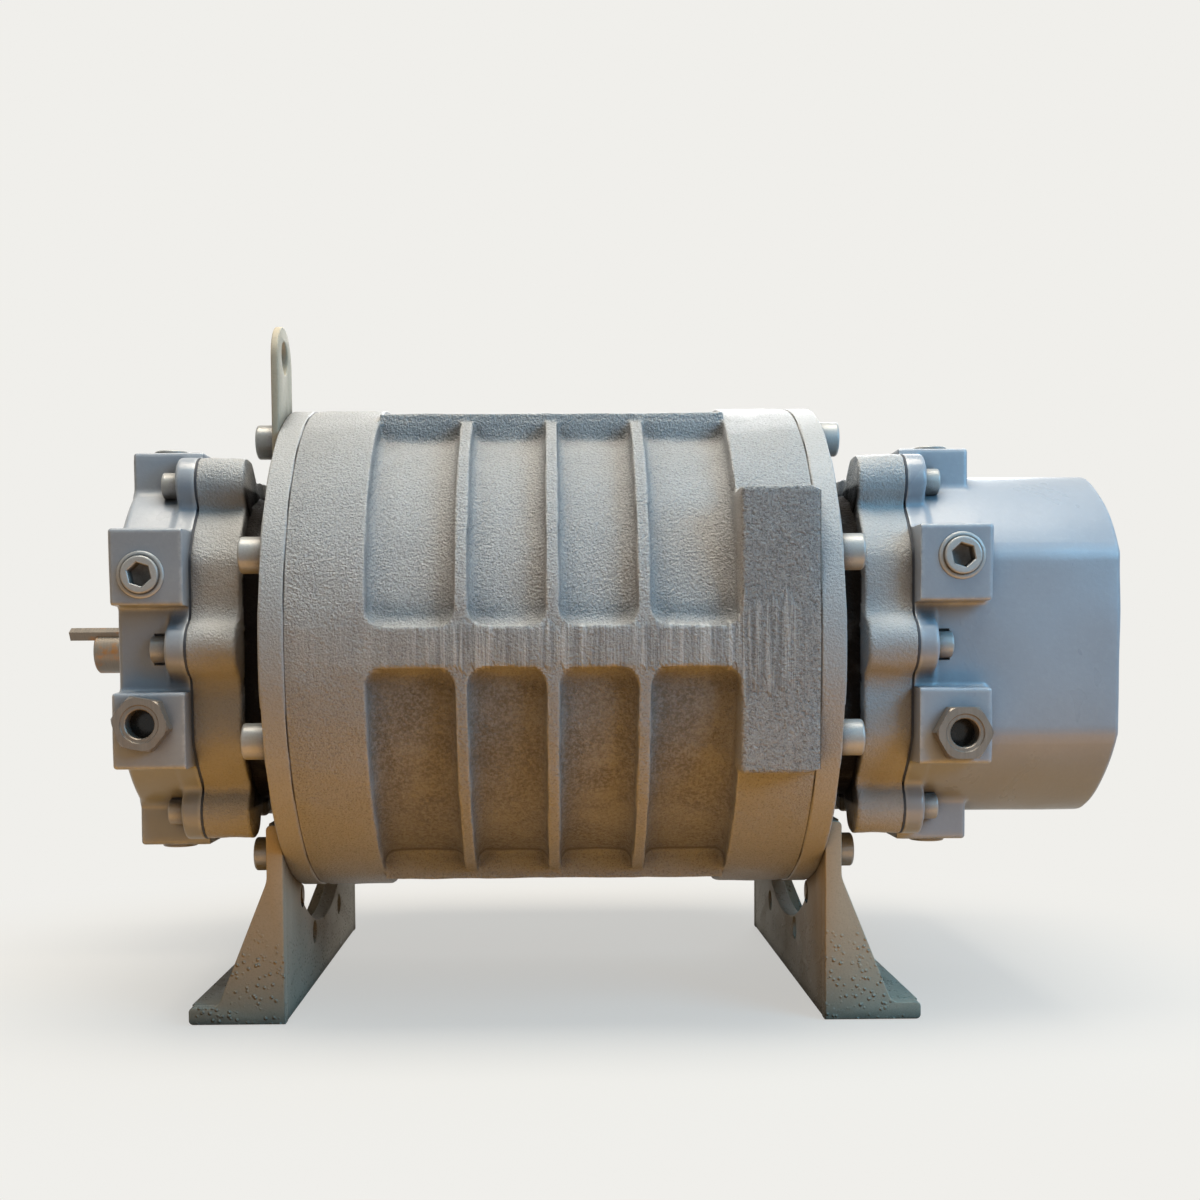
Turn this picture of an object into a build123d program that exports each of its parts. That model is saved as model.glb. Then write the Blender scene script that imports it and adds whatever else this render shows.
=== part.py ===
from build123d import *
import math
import os

# Rotary three-lobe blower, in millimetres.
# X runs along the rotors (drive end at -X, timing-gear end at +X), Y from front to rear, Z up.
# The origin is on the floor, in the middle of the foot bolt pattern.

# Main body
axis_height = 206.0          # rotor axes above the floor
gear_centres = 140.0         # distance between the two rotor axes
case_radius = 140.0          # round front and rear of the casing
case_spacing = 106.0         # distance between the centres of those two rounds
chamber_length = 271.0       # between the inner faces of the headplates
plate_thickness = 13.0       # round plate of a headplate, outside the casing

# Casting relief on the casing
pocket_depth = 10.0
pocket_reach = 95.0          # half length of the pocketed stretch
rib_spacing = 46.5
rib_width = 6.5
belt_half_height = 10.5      # smooth belt at axis height
pocket_corner = 10.0
pad_inner_x = 95.0
pad_top, pad_bottom = 80.0, -65.0
overcut = 5.0                # how far a cutter passes the face that it opens

# Ports
port_half_length = 86.0
port_half_width = 116.0
port_opening_length = 124.0
port_opening_width = 84.0
port_stud_spacing_x = 150.0
port_stud_spacing_y = 200.0
port_thread = 12.0
port_thread_depth = 22.0

# Bearing housings and end covers
neck_head_gap = 3.3          # waist beyond the heads of the headplate screws
neck_step_y, neck_step_z = 8.0, 11.0     # waist inside the outline of the cover
neck_corner = 50.0
housing_length = 25.5
gasket_thickness = 1.2
flange_length = 10.5
gear_side_room, gear_top_room = 3.0, 10.0    # oil space between gears and cover
gear_round_room = 15.5       # the same towards the rounds of the cover
cover_wall = 8.0
flange_wall = 11.0
drive_cover_length = 38.0
gear_cover_length = 110.0
cover_round = 3.0            # outer edge of a cover
crease_round = 8.0           # where a flat of the cover meets a round
lug_radius = 15.0
middle_lug_inset = 1.5       # screw centre inside the front face of the cover
corner_screw_inset_y, corner_screw_inset_z = 30.0, 6.0

# Bosses on the covers
boss_stand = 13.0            # how far a boss stands out of the cover wall
boss_size = 40.0
boss_root = 20.0             # how far a boss reaches into the cover wall
boss_centre_z = 42.5
top_boss_inset = 55.0        # centre of a top boss inside the front of the cover
plug_from_joint = 21.5       # plug centre, measured from the gasket face of the cover
drive_plug_z, gear_plug_z = 38.5, 46.0
plug_diameter = 20.6
plug_length = 14.0
plug_stand = 3.0
plug_socket, plug_socket_depth = 11.0, 7.0
gauge_across_flats = 26.6
gauge_stand = 8.0
gauge_window = 15.0
lens_thickness = 4.0
lens_depth = 2.0             # lens face below the boss face
lens_ledge = 2.0

# Screws
socket_width = 0.75          # across the flats, over the screw diameter
socket_depth = 0.55          # over the height of the head
tip_room = 2.0               # empty thread beyond the tip of a screw
screw_wall = 5.0             # cast wall kept round a cover screw
head_recess = 14.0           # recess of the cover round a screw head
head_clearance = 1.5
plate_screw_edge = 14.0      # screw centres inside the rim of the headplate
plate_screw_angles = (-67.5, -22.5, 22.5, 67.5)
plate_screw_diameter = 12.7
plate_screw_head = 19.05
plate_screw_grip = 25.0
cover_screw_diameter = 9.5
cover_screw_head = 14.3
cover_screw_grip = 22.0
dowel_diameter = 10.0
dowel_length = 24.0
dowel_angle = 45.0

# Rotors, shafts and what they carry
lobes = 3
rotor_gap = 0.15             # taken off each rotor surface
tip_clearance = 0.30
end_clearance = 0.30
curve_steps = 12
rotor_bore = 50.0
shoulder_diameter = 55.0
journal_diameter = 45.0
gear_seat_diameter = 38.0
drive_shaft_diameter = 28.6
seal_seat_diameter = 32.0
drive_shaft_reach = 83.0     # beyond the drive end cover
seal_boss_length = 16.0      # seal boss on the drive end cover
shaft_chamfer = 1.0
key_size = 6.35
key_length = 64.0
key_overhang = 17.0
key_angle = 60.0             # turn of the shaft key from the front, upwards

bearing_outside = 100.0
bearing_width = 25.0
bearing_step = 84.0          # bore of the shoulder behind the bearing
ball_diameter = 17.4
roller_diameter = 14.0
roller_length = 15.0
race_shoulder = 0.55         # height of a race beside the balls, over their radius
race_clearance = 0.06
lip_clearance = 0.05
ball_count, roller_count = 8, 12
cage_thickness = 2.5
cage_inset = 2.0
cage_clearance = 0.25
seal_outside = 80.0
seal_width = 10.0
seal_gap = 0.3
seal_bottom = 6.5            # wall of the headplate between the chamber and the seal
retainer_outside = 122.0
retainer_inside = 86.0
retainer_thickness = 5.0
retainer_screw_circle = 56.0
retainer_screw_diameter = 6.0
retainer_screw_head = 10.0
retainer_screw_grip = 14.0

gear_module = 4.0
gear_teeth = 35
gear_width = 38.0
gear_backlash = 0.5
gear_root_depth = 1.25       # below the pitch circle, in modules
gear_hub_diameter = 62.0
gear_boss_diameter = 72.0
gear_rim = 16.0              # rim kept inside the pitch circle
flank_steps = 5
gear_spacer = 14.0           # hub between the bearing and the toothed rim
gear_key_size = 10.0
pressure_angle = 20.0
web_recess = 8.0
nut_width = 11.0
nut_diameter = 56.0
nut_slot_width, nut_slot_depth = 6.0, 2.5
slinger_diameter = 128.0
slinger_thickness = 4.0
slinger_hub_length = 17.0
shaft_over_nut = 3.0

# Feet and lifting lug
foot_thickness = 9.0
foot_half_width = 137.0
foot_flange_reach = 53.0
foot_flange_thickness = 9.5
foot_drop = 96.0             # top edge of the foot below the rotor axes
foot_knee_drop = 127.0       # where the end plates begin to widen, below the rotor axes
foot_gusset_reach = 37.0
foot_ear = 22.0              # web kept inside the screw of the foot
foot_saddle_gap = 31.0       # bottom of the saddle cut below the casing
foot_saddle_over = 1.0       # saddle radius over the casing radius
foot_hole_diameter = 13.0
foot_hole_x = 187.0
foot_hole_y = 83.0
spare_hole_diameter = 14.0
spare_hole_places = [(-78.0, 61.0), (-38.0, 32.0), (59.0, 32.0), (78.0, 61.0)]    # Y and height above the floor
lug_width = 41.0
lug_thickness = 4.0
lug_rise = 62.6              # top of the strap above its screw
lug_eye_drop = 17.0          # eye below the top of the strap
lug_hole_diameter = 18.0
lug_offset_y = -5.0
lug_tail = 16.4              # strap below its screw

# Worked out from the sizes above
half_chamber = chamber_length / 2
plate_face = half_chamber + plate_thickness
neck_length = plate_screw_diameter + neck_head_gap
housing_start = plate_face + neck_length
joint_face = housing_start + housing_length
cover_start = joint_face + gasket_thickness
drive_end = cover_start + drive_cover_length
gear_end = cover_start + gear_cover_length
flange_face = cover_start + flange_length
rotor_y = gear_centres / 2
round_y = case_spacing / 2
pitch_radius = gear_centres / 2
tip_radius = pitch_radius * (1 + 1 / lobes)
gear_tip_radius = pitch_radius + gear_module
cover_half_width = rotor_y + gear_tip_radius + gear_side_room + flange_wall
cover_half_height = gear_tip_radius + gear_top_room + flange_wall
cover_radius = gear_tip_radius + gear_round_room + flange_wall
neck_half_width, neck_half_height = cover_half_width - neck_step_y, cover_half_height - neck_step_z
corner_screw_y, corner_screw_z = cover_half_width - corner_screw_inset_y, cover_half_height - corner_screw_inset_z
top_boss_y = cover_half_width - top_boss_inset
plate_screw_circle = case_radius - plate_screw_edge
chamber_radius = tip_radius - rotor_gap + tip_clearance
port_face = case_radius - pocket_depth
bearing_start = joint_face - bearing_width
plug_x = cover_start + plug_from_joint
middle_screw_y = cover_half_width - middle_lug_inset
cover_screws = [(s * middle_screw_y, 0.0) for s in (-1, 1)]
cover_screws += [(y, z) for y in (-corner_screw_y, 0.0, corner_screw_y) for z in (-corner_screw_z, corner_screw_z)]
shaft_end = drive_end + drive_shaft_reach
gear_start = joint_face + gear_spacer
gear_nut_start = gear_start + gear_width
slinger_nut_start = joint_face + slinger_hub_length
seal_boss_face = drive_end + seal_boss_length
seal_seat_end = seal_boss_face + shaft_chamfer
plug_hole_depth = boss_stand + flange_wall + 2 * overcut
lens_back = -lens_depth - lens_thickness
drive_seal_outside = seal_seat_diameter + 20.0
bearing_pitch_radius = (journal_diameter + bearing_outside) / 4


def round_point(degrees, side, radius):
    """Point on the front (-1) or rear (+1) round, from axis height up, in Y and Z."""
    a = math.radians(degrees)
    return side * (round_y + radius * math.cos(a)), radius * math.sin(a)


plate_screws = [round_point(a, s, plate_screw_circle) for s in (-1, 1) for a in plate_screw_angles]
plate_screws += [(0.0, plate_screw_circle), (0.0, -plate_screw_circle)]
foot_screws = [p for p in plate_screws if abs(p[0]) > round_y and p[1] < -plate_screw_circle / 2]
lug_screw = round_point(plate_screw_angles[-1], -1, plate_screw_circle)
lug_top = lug_screw[1] + lug_rise
lug_hole_z = lug_top - lug_eye_drop
lug_foot_z = lug_screw[1] - lug_tail


def across(start, end, sketch):
    """Solid between two X planes from a sketch drawn in Y and Z about the rotor axes' level."""
    plane = Plane(origin=(min(start, end), 0, axis_height), x_dir=(0, 1, 0), z_dir=(1, 0, 0))
    return extrude(plane * sketch, amount=abs(end - start))


def disc(start, end, diameter, y=0.0, z=0.0):
    """Round bar along X, centred at Y and Z measured from the rotor axes' level."""
    return across(start, end, Pos(y, z) * Circle(diameter / 2))


def ring(start, end, outer, inner, y=0.0, z=0.0):
    """Tube along X."""
    return across(start, end, Pos(y, z) * (Circle(outer / 2) - Circle(inner / 2)))


def block(x, y, z):
    """Box from pairs of limits, with Z measured from the rotor axes' level."""
    size = [abs(b - a) for a, b in (x, y, z)]
    centre = [(a + b) / 2 for a, b in (x, y, z)]
    return Pos(centre[0], centre[1], centre[2] + axis_height) * Box(*size)


def post(low, high, diameter):
    """Round bar along Z."""
    return Pos(0, 0, (low + high) / 2) * Cylinder(diameter / 2, high - low)


def hexagon(across_flats):
    """Hexagon by its width across the flats."""
    return RegularPolygon(across_flats / math.sqrt(3), 6)


def at_end(part, end):
    """Part drawn for the gear end (+1), mirrored to the drive end (-1) where asked."""
    return part if end > 0 else mirror(part, about=Plane.YZ)


def group(parts):
    """Separate solids that share one node."""
    return Compound([solid for part in parts for solid in part.solids()])


def body_outline(radius):
    """Section of the casing: two rounds joined by flats."""
    return SlotCenterToCenter(case_spacing, 2 * radius)


def shell_outline(inset=0.0):
    """Rounds about both rotor axes, cut flat in front, behind, above and below."""
    rounds = SlotCenterToCenter(gear_centres, 2 * (cover_radius - inset))
    cut = rounds & Rectangle(2 * (cover_half_width - inset), 2 * (cover_half_height - inset))
    return fillet(cut.vertices(), crease_round)


def cover_outline(lugs=True):
    """Shared outline of bearing housing, gasket and cover flange."""
    sketch = shell_outline()
    if lugs:
        for y, z in cover_screws:
            sketch += Pos(y, z) * Circle(lug_radius)
    return sketch


def cavity_outline(wall):
    """Oil space inside a cover, with material kept around the screws."""
    sketch = shell_outline(wall)
    for y, z in cover_screws:
        sketch -= Pos(y, z) * Circle(cover_screw_diameter / 2 + screw_wall)
    return sketch


def chamber_outline():
    """Figure-eight section swept by both rotors."""
    return Pos(-rotor_y, 0) * Circle(chamber_radius) + Pos(rotor_y, 0) * Circle(chamber_radius)


def pocket_columns():
    """X limits of the pockets between the ribs."""
    edges = [-pocket_reach]
    for k in (-1, 0, 1):
        edges += [k * rib_spacing - rib_width / 2, k * rib_spacing + rib_width / 2]
    edges.append(pocket_reach)
    return list(zip(edges[0::2], edges[1::2]))


def pocket_cuts():
    """Pockets on the front and the rear, above and below the belt."""
    skin = across(-half_chamber, half_chamber, body_outline(case_radius + overcut) - body_outline(port_face))
    depth = case_radius + 2 * overcut + round_y - port_half_width
    height = case_radius + 2 * overcut - belt_half_height
    cuts = []
    for x0, x1 in pocket_columns():
        for side in (-1, 1):
            for up in (-1, 1):
                sketch = Rectangle(x1 - x0, height)
                low = sketch.vertices().sort_by(Axis.Y)[:2]
                sketch = fillet(low, pocket_corner)
                cutter = extrude(Plane.XZ * sketch, amount=depth / 2, both=True)
                if up < 0:
                    cutter = mirror(cutter, about=Plane.XY)
                centre_z = axis_height + up * (belt_half_height + height / 2)
                cutter = Pos((x0 + x1) / 2, side * (port_half_width + depth / 2), centre_z) * cutter
                cuts.append(cutter & skin)
    return cuts


def rotor_casing():
    """Casing with its chamber, ports, pockets, ribs and side pad."""
    body = across(-half_chamber, half_chamber, body_outline(case_radius))
    pad_y = (-round_y - case_radius, -round_y - case_radius / 2)
    body += block((pad_inner_x, half_chamber), pad_y, (pad_bottom, pad_top))
    body += block((-pocket_reach, pocket_reach), (-port_half_width, port_half_width), (-port_face, port_face))
    body -= across(-half_chamber, half_chamber, chamber_outline())
    body -= pocket_cuts()
    for up in (-1, 1):
        above = up * (case_radius + overcut)
        body -= block((-pocket_reach, pocket_reach), (-port_half_width, port_half_width), (up * port_face, above))
        half_x, half_y = port_opening_length / 2, port_opening_width / 2
        body -= block((-half_x, half_x), (-half_y, half_y), (up * pitch_radius / 2, above))
        for x, y in port_studs():
            hole = Pos(x, y, axis_height + up * (port_face - port_thread_depth / 2))
            body -= hole * Cylinder(port_thread / 2, port_thread_depth)
    for end in (-1, 1):
        for y, z in plate_screws:
            body -= disc(end * (half_chamber - plate_screw_grip), end * half_chamber, plate_screw_diameter, y, z)
        for y, z in dowel_places():
            body -= disc(end * (half_chamber - dowel_length / 2), end * half_chamber, dowel_diameter, y, z)
    return body


def port_studs():
    """Four tapped holes round each port, in X and Y."""
    return [(x * port_stud_spacing_x / 2, y * port_stud_spacing_y / 2) for x in (-1, 1) for y in (-1, 1)]


def dowel_places():
    """Two dowels across the headplate joint, on the front and rear rounds."""
    return [round_point(dowel_angle, -1, plate_screw_circle), round_point(-dowel_angle, 1, plate_screw_circle)]


def headplate(end):
    """Round plate, waist and bearing housing in one casting."""
    plate = across(half_chamber, plate_face, body_outline(case_radius))
    neck = RectangleRounded(2 * neck_half_width, 2 * neck_half_height, neck_corner)
    plate += across(plate_face, housing_start, neck)
    plate += across(housing_start, joint_face, cover_outline())
    seal_start = half_chamber + seal_bottom
    for y in (-rotor_y, rotor_y):
        plate -= disc(half_chamber, seal_start, shoulder_diameter + 2 * seal_gap, y)
        plate -= disc(seal_start, seal_start + seal_width, seal_outside, y)
        plate -= disc(seal_start + seal_width, bearing_start, bearing_step, y)
        plate -= disc(bearing_start, joint_face, bearing_outside, y)
        for p in retainer_screw_places(y):
            plate -= disc(joint_face - retainer_screw_grip, joint_face, retainer_screw_diameter, *p)
    for y, z in plate_screws:
        plate -= disc(half_chamber, plate_face, plate_screw_diameter, y, z)
    for y, z in cover_screws:
        plate -= disc(joint_face - cover_screw_grip, joint_face, cover_screw_diameter, y, z)
    for y, z in dowel_places():
        plate -= disc(half_chamber, half_chamber + dowel_length / 2, dowel_diameter, y, z)
    return at_end(plate, end)


def retainer_screw_places(y):
    """Four screws round a bearing, in Y and Z."""
    angles = [math.radians(45 + 90 * k) for k in range(4)]
    return [(y + retainer_screw_circle * math.cos(a), retainer_screw_circle * math.sin(a)) for a in angles]


def boss_blocks():
    """Cast bosses for plugs and gauges on the four sides of a cover."""
    x = (cover_start, drive_end)
    half = boss_size / 2
    stand = cover_half_width + boss_stand
    rise = cover_half_height + boss_stand
    blocks = []
    for s in (-1, 1):
        for z in (-boss_centre_z, boss_centre_z):
            blocks.append(block(x, (s * (cover_half_width - boss_root), s * stand), (z - half, z + half)))
        for y in (-top_boss_y, top_boss_y):
            blocks.append(block(x, (y - half, y + half), (s * (cover_half_height - boss_root), s * rise)))
    return blocks


def side_ports(end):
    """Y side and height of the four threaded holes on the front and rear bosses."""
    z = gear_plug_z if end > 0 else drive_plug_z
    return [(s, up * z) for s in (-1, 1) for up in (-1, 1)]


def cover(end):
    """End cover with flange, wall, bosses and threaded holes."""
    far = gear_end if end > 0 else drive_end
    dome = across(cover_start, far, cover_outline(lugs=False))
    dome = fillet(dome.faces().sort_by(Axis.X)[-1].edges(), cover_round)
    shell = across(cover_start, flange_face, cover_outline()) + dome
    for boss in boss_blocks():
        shell += boss
    shell -= across(cover_start, flange_face, cavity_outline(flange_wall))
    shell -= across(flange_face, far - cover_wall, cavity_outline(flange_wall))
    for s, z in side_ports(end):
        hole = Pos(plug_x, s * (cover_half_width + boss_stand), axis_height + z)
        shell -= hole * Rot(90, 0, 0) * Cylinder(plug_diameter / 2, 2 * plug_hole_depth)
    for s in (-1, 1):
        for y in (-top_boss_y, top_boss_y):
            hole = Pos(plug_x, y, axis_height + s * (cover_half_height + boss_stand))
            shell -= hole * Cylinder(plug_diameter / 2, 2 * plug_hole_depth)
    for y, z in cover_screws:
        shell -= disc(cover_start, flange_face, cover_screw_diameter, y, z)
        shell -= disc(flange_face, flange_face + head_recess, cover_screw_head + 2 * head_clearance, y, z)
    if end < 0:
        shell += disc(drive_end, seal_boss_face, drive_seal_outside + 2 * cover_wall, rotor_y)
        shell -= disc(seal_boss_face - seal_width, seal_boss_face, drive_seal_outside, rotor_y)
        shell -= disc(drive_end - cover_wall, seal_boss_face, seal_seat_diameter + 4.0, rotor_y)
    return at_end(shell, end)


def gasket(end):
    """Flat gasket between a headplate and its cover."""
    sheet = cover_outline() - cavity_outline(flange_wall)
    for y, z in cover_screws:
        sheet -= Pos(y, z) * Circle(cover_screw_diameter / 2)
    return at_end(across(joint_face, cover_start, sheet), end)


def cap_screw(seat, tip, diameter, head, y, z):
    """Socket head cap screw along X: head outside the seat, shank inwards to the tip."""
    top = seat + diameter
    screw = disc(seat, top, head, y, z) + disc(tip, seat, diameter, y, z)
    return screw - across(top - socket_depth * diameter, top, Pos(y, z) * hexagon(socket_width * diameter))


def plate_screw_group(end):
    """Ten headplate screws; the ones that clamp a foot or the lug sit on it."""
    screws = []
    for y, z in plate_screws:
        seat = plate_face
        if (y, z) in foot_screws:
            seat += foot_thickness
        if end < 0 and (y, z) == lug_screw:
            seat += lug_thickness
        tip = half_chamber - plate_screw_grip + tip_room
        screws.append(at_end(cap_screw(seat, tip, plate_screw_diameter, plate_screw_head, y, z), end))
    return group(screws)


def cover_screw_group(end):
    """Eight cover screws."""
    tip = joint_face - cover_screw_grip + tip_room
    screws = [cap_screw(flange_face, tip, cover_screw_diameter, cover_screw_head, y, z) for y, z in cover_screws]
    return group(at_end(screw, end) for screw in screws)


def dowel_group(end):
    """Two dowels across the headplate joint."""
    half = dowel_length / 2
    pins = [disc(half_chamber - half, half_chamber + half, dowel_diameter, y, z) for y, z in dowel_places()]
    return group(at_end(pin, end) for pin in pins)


def pipe_plug():
    """Socket pipe plug along Z, with the boss face at z = 0."""
    socket = Pos(0, 0, plug_stand - plug_socket_depth) * hexagon(plug_socket)
    return post(-plug_length, plug_stand, plug_diameter) - extrude(socket, amount=plug_socket_depth)


def side_plug_group(end):
    """Socket plugs on the front upper boss and both rear bosses."""
    plugs = []
    for s, z in side_ports(end):
        if s > 0 or z > 0:
            seat = Pos(end * plug_x, s * (cover_half_width + boss_stand), axis_height + z)
            plugs.append(seat * Rot(-90 * s, 0, 0) * pipe_plug())
    return group(plugs)


def level_plug_group(end, up):
    """Fill plugs on the top bosses or drain plugs on the bottom bosses."""
    plugs = []
    for y in (-top_boss_y, top_boss_y):
        seat = Pos(end * plug_x, y, axis_height + up * (cover_half_height + boss_stand))
        plugs.append(seat * Rot(90 - 90 * up, 0, 0) * pipe_plug())
    return group(plugs)


def gauge_seat(end):
    """Where the sight gauge screws into the front lower boss."""
    z = -(gear_plug_z if end > 0 else drive_plug_z)
    return Pos(end * plug_x, -(cover_half_width + boss_stand), axis_height + z) * Rot(90, 0, 0)


def sight_gauge(end):
    """Hexagon body of the oil level gauge."""
    body = extrude(hexagon(gauge_across_flats), amount=gauge_stand) + post(-plug_length, 0, plug_diameter)
    body -= post(lens_back, gauge_stand, gauge_window)
    body -= post(-plug_length, lens_back, gauge_window - 2 * lens_ledge)
    return gauge_seat(end) * body


def gauge_lens(end):
    """Glass of the oil level gauge, pressed into the hexagon."""
    return gauge_seat(end) * post(lens_back, -lens_depth, gauge_window)


def foot(end):
    """Welded angle foot with end gussets and a saddle cut."""
    floor = -axis_height
    inner, outer = plate_face, plate_face + foot_thickness
    top = -foot_drop
    web = block((inner, outer), (-foot_half_width, foot_half_width), (floor, top))
    saddle_radius = case_radius + foot_saddle_over
    web -= disc(inner, outer, 2 * saddle_radius, 0.0, foot_saddle_over - foot_saddle_gap)
    for s in (-1, 1):
        edge = abs(foot_screws[0][0]) - foot_ear
        web += block((inner, outer), (s * edge, s * foot_half_width), (floor + foot_flange_thickness, top))
    flange = block((inner, inner + foot_flange_reach), (-foot_half_width, foot_half_width),
                   (floor, floor + foot_flange_thickness))
    part = web + flange
    profile = Polyline((inner, top), (outer, top), (outer, -foot_knee_drop),
                       (inner + foot_gusset_reach, floor + foot_flange_thickness),
                       (inner, floor + foot_flange_thickness), close=True)
    for s in (-1, 1):
        gusset = extrude(Plane.XZ * make_face(profile), amount=foot_thickness * s)
        part += Pos(0, s * foot_half_width, axis_height) * gusset
    for y, z in foot_screws:
        part -= disc(inner, outer, plate_screw_diameter, y, z)
    for y, height in spare_hole_places:
        part -= disc(inner, outer, spare_hole_diameter, y, floor + height)
    for y in (-foot_hole_y, foot_hole_y):
        part -= Pos(foot_hole_x, y, 0) * post(0, foot_flange_thickness, foot_hole_diameter)
    return at_end(part, end)


def lifting_lug():
    """Upright strap with an eye, clamped under one headplate screw."""
    y = lug_screw[0] + lug_offset_y
    half = lug_width / 2
    strap = Pos(y, (lug_foot_z + lug_top - half) / 2) * Rectangle(lug_width, lug_top - half - lug_foot_z)
    strap += Pos(y, lug_top - half) * Circle(half)
    strap -= Pos(y, lug_hole_z) * Circle(lug_hole_diameter / 2)
    strap -= Pos(*lug_screw) * Circle(plate_screw_diameter / 2)
    return at_end(across(plate_face, plate_face + lug_thickness, strap), -1)


def lobe_arc(index):
    """One lobe (even) or hollow (odd) of the rotor, drawn by a circle rolled on the pitch circle.

    The line from the drawn point to the touching point of the two circles is square to the curve,
    so the rotor gap is taken off along it.
    """
    small = pitch_radius / (2 * lobes)
    outside = 1 if index % 2 == 0 else -1
    centre_radius = pitch_radius + outside * small
    points = []
    for step in range(curve_steps + 1):
        share = min(max(step / curve_steps, 1e-4), 1 - 1e-4)
        turn = share * math.pi / lobes
        roll = turn * centre_radius / small
        drawn = Vector(centre_radius * math.cos(turn) - outside * small * math.cos(roll),
                       centre_radius * math.sin(turn) - small * math.sin(roll))
        touching = Vector(pitch_radius * math.cos(turn), pitch_radius * math.sin(turn))
        away = (drawn - touching).normalized() * outside
        point = drawn - away * rotor_gap
        points.append(point.rotate(Axis.Z, (index - 0.5) * 180.0 / lobes))
    return points


def lobe_outline():
    """Whole rotor section, each arc ending where the next one starts."""
    arcs = [lobe_arc(index) for index in range(2 * lobes)]
    for index, points in enumerate(arcs):
        arcs[index - 1][-1] = points[0]
    return make_face([Spline(*points) for points in arcs])


def rotor(y):
    """Three-lobe rotor, bored for its shaft."""
    section = lobe_outline() - Circle(rotor_bore / 2)
    half = half_chamber - end_clearance
    return across(-half, half, Pos(y, 0) * section)


def key_bar(x0, x1, size, seat_diameter, y, degrees=0.0):
    """Square key half sunk in a shaft, turned about the shaft from the front (-Y) upwards."""
    rise = seat_diameter / 2
    key = block((x0, x1), (-rise - size / 2, -rise + size / 2), (-size / 2, size / 2))
    spin = Pos(0, 0, axis_height) * Rot(-degrees, 0, 0) * Pos(0, 0, -axis_height)
    return Pos(0, y, 0) * spin * key


def gear_key(y):
    """Key between a timing gear and its shaft."""
    return key_bar(gear_start, gear_start + gear_width, gear_key_size, gear_seat_diameter, y)


def coupling_key():
    """Key in the end of the drive shaft, standing a little out of its slot."""
    start = -shaft_end - key_overhang
    return key_bar(start, start + key_length, key_size, drive_shaft_diameter, rotor_y, key_angle)


def shaft(y, driven):
    """Stepped rotor shaft; the driving one runs on through the drive end cover."""
    bar = disc(-half_chamber + end_clearance, half_chamber - end_clearance, rotor_bore, y)
    for end in (-1, 1):
        bar += disc(end * (half_chamber - end_clearance), end * bearing_start, shoulder_diameter, y)
        bar += disc(end * bearing_start, end * joint_face, journal_diameter, y)
    bar += disc(joint_face, gear_nut_start + nut_width + shaft_over_nut, gear_seat_diameter, y)
    bar += disc(-joint_face, -slinger_nut_start - nut_width - shaft_over_nut, gear_seat_diameter, y)
    bar -= gear_key(y)
    if not driven:
        bar += disc(-joint_face, -seal_seat_end, seal_seat_diameter, y)
        tail = disc(-joint_face, -shaft_end, drive_shaft_diameter, y)
        rim = tail.faces().sort_by(Axis.X)[0].edges()
        bar += chamfer(rim, shaft_chamfer)
        bar -= coupling_key()
    return bar


def involute(radius, base):
    """Angle swept by the involute of a base circle out to a radius."""
    a = math.acos(min(1.0, base / radius))
    return math.tan(a) - a


def tooth_point(radius, side):
    """Point on one flank of a tooth that points along the first axis."""
    base = pitch_radius * math.cos(math.radians(pressure_angle))
    half = (math.pi * gear_module / 2 - gear_backlash / 2) / (2 * pitch_radius)
    angle = half + involute(pitch_radius, base) - involute(max(radius, base), base)
    return Vector(radius * math.cos(side * angle), radius * math.sin(side * angle))


def gear_outline():
    """Toothed section: involute flanks, round tips and root."""
    tip, root = gear_tip_radius, pitch_radius - gear_root_depth * gear_module
    levels = [root + (tip - root) * i / flank_steps for i in range(flank_steps + 1)]
    right = [tooth_point(r, -1) for r in levels]
    left = [tooth_point(r, 1) for r in reversed(levels)]
    edges = []
    step = 360.0 / gear_teeth
    for k in range(gear_teeth):
        a = [p.rotate(Axis.Z, k * step) for p in right]
        b = [p.rotate(Axis.Z, k * step) for p in left]
        following = right[0].rotate(Axis.Z, (k + 1) * step)
        edges += [Spline(*a), Line(a[-1], b[0]), Spline(*b), Line(b[-1], following)]
    return make_face(edges)


def timing_gear(y):
    """Spur timing gear with hub, bore, keyway and a recessed web."""
    wheel = across(gear_start, gear_start + gear_width, Pos(y, 0) * gear_outline())
    face = gear_start + gear_width
    wheel -= ring(face - web_recess, face, 2 * (pitch_radius - gear_rim), gear_boss_diameter, y)
    wheel += disc(joint_face, gear_start, gear_hub_diameter, y)
    wheel -= disc(joint_face, face, gear_seat_diameter, y)
    return wheel - gear_key(y)


def lock_nut(start, end, y):
    """Round nut with four spanner slots."""
    nut = ring(start, start + nut_width, nut_diameter, gear_seat_diameter, y)
    for k in range(4):
        slot = Pos(0, nut_diameter / 2) * Rectangle(nut_slot_width, 2 * nut_slot_depth)
        nut -= across(start, start + nut_width, Pos(y, 0) * Rot(0, 0, 45 + 90 * k) * slot)
    return at_end(nut, end)


def slinger(y):
    """Oil slinger disc on its hub, at the drive end."""
    tip = slinger_nut_start
    part = ring(joint_face, tip, nut_diameter, gear_seat_diameter, y)
    part += ring(tip - slinger_thickness, tip, slinger_diameter, gear_seat_diameter, y)
    return at_end(part, -1)


def bearing_middle():
    """Point at the middle of a gear-end bearing's width, on the rotor axes' level."""
    return bearing_start + bearing_width / 2


def round_about(part, count, y):
    """Copies of a part spaced evenly about a shaft."""
    centre = Pos(bearing_middle(), y, axis_height)
    arm = Pos(0, bearing_pitch_radius, 0)
    return [centre * Rot(360.0 * k / count, 0, 0) * arm * part for k in range(count)]


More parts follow.
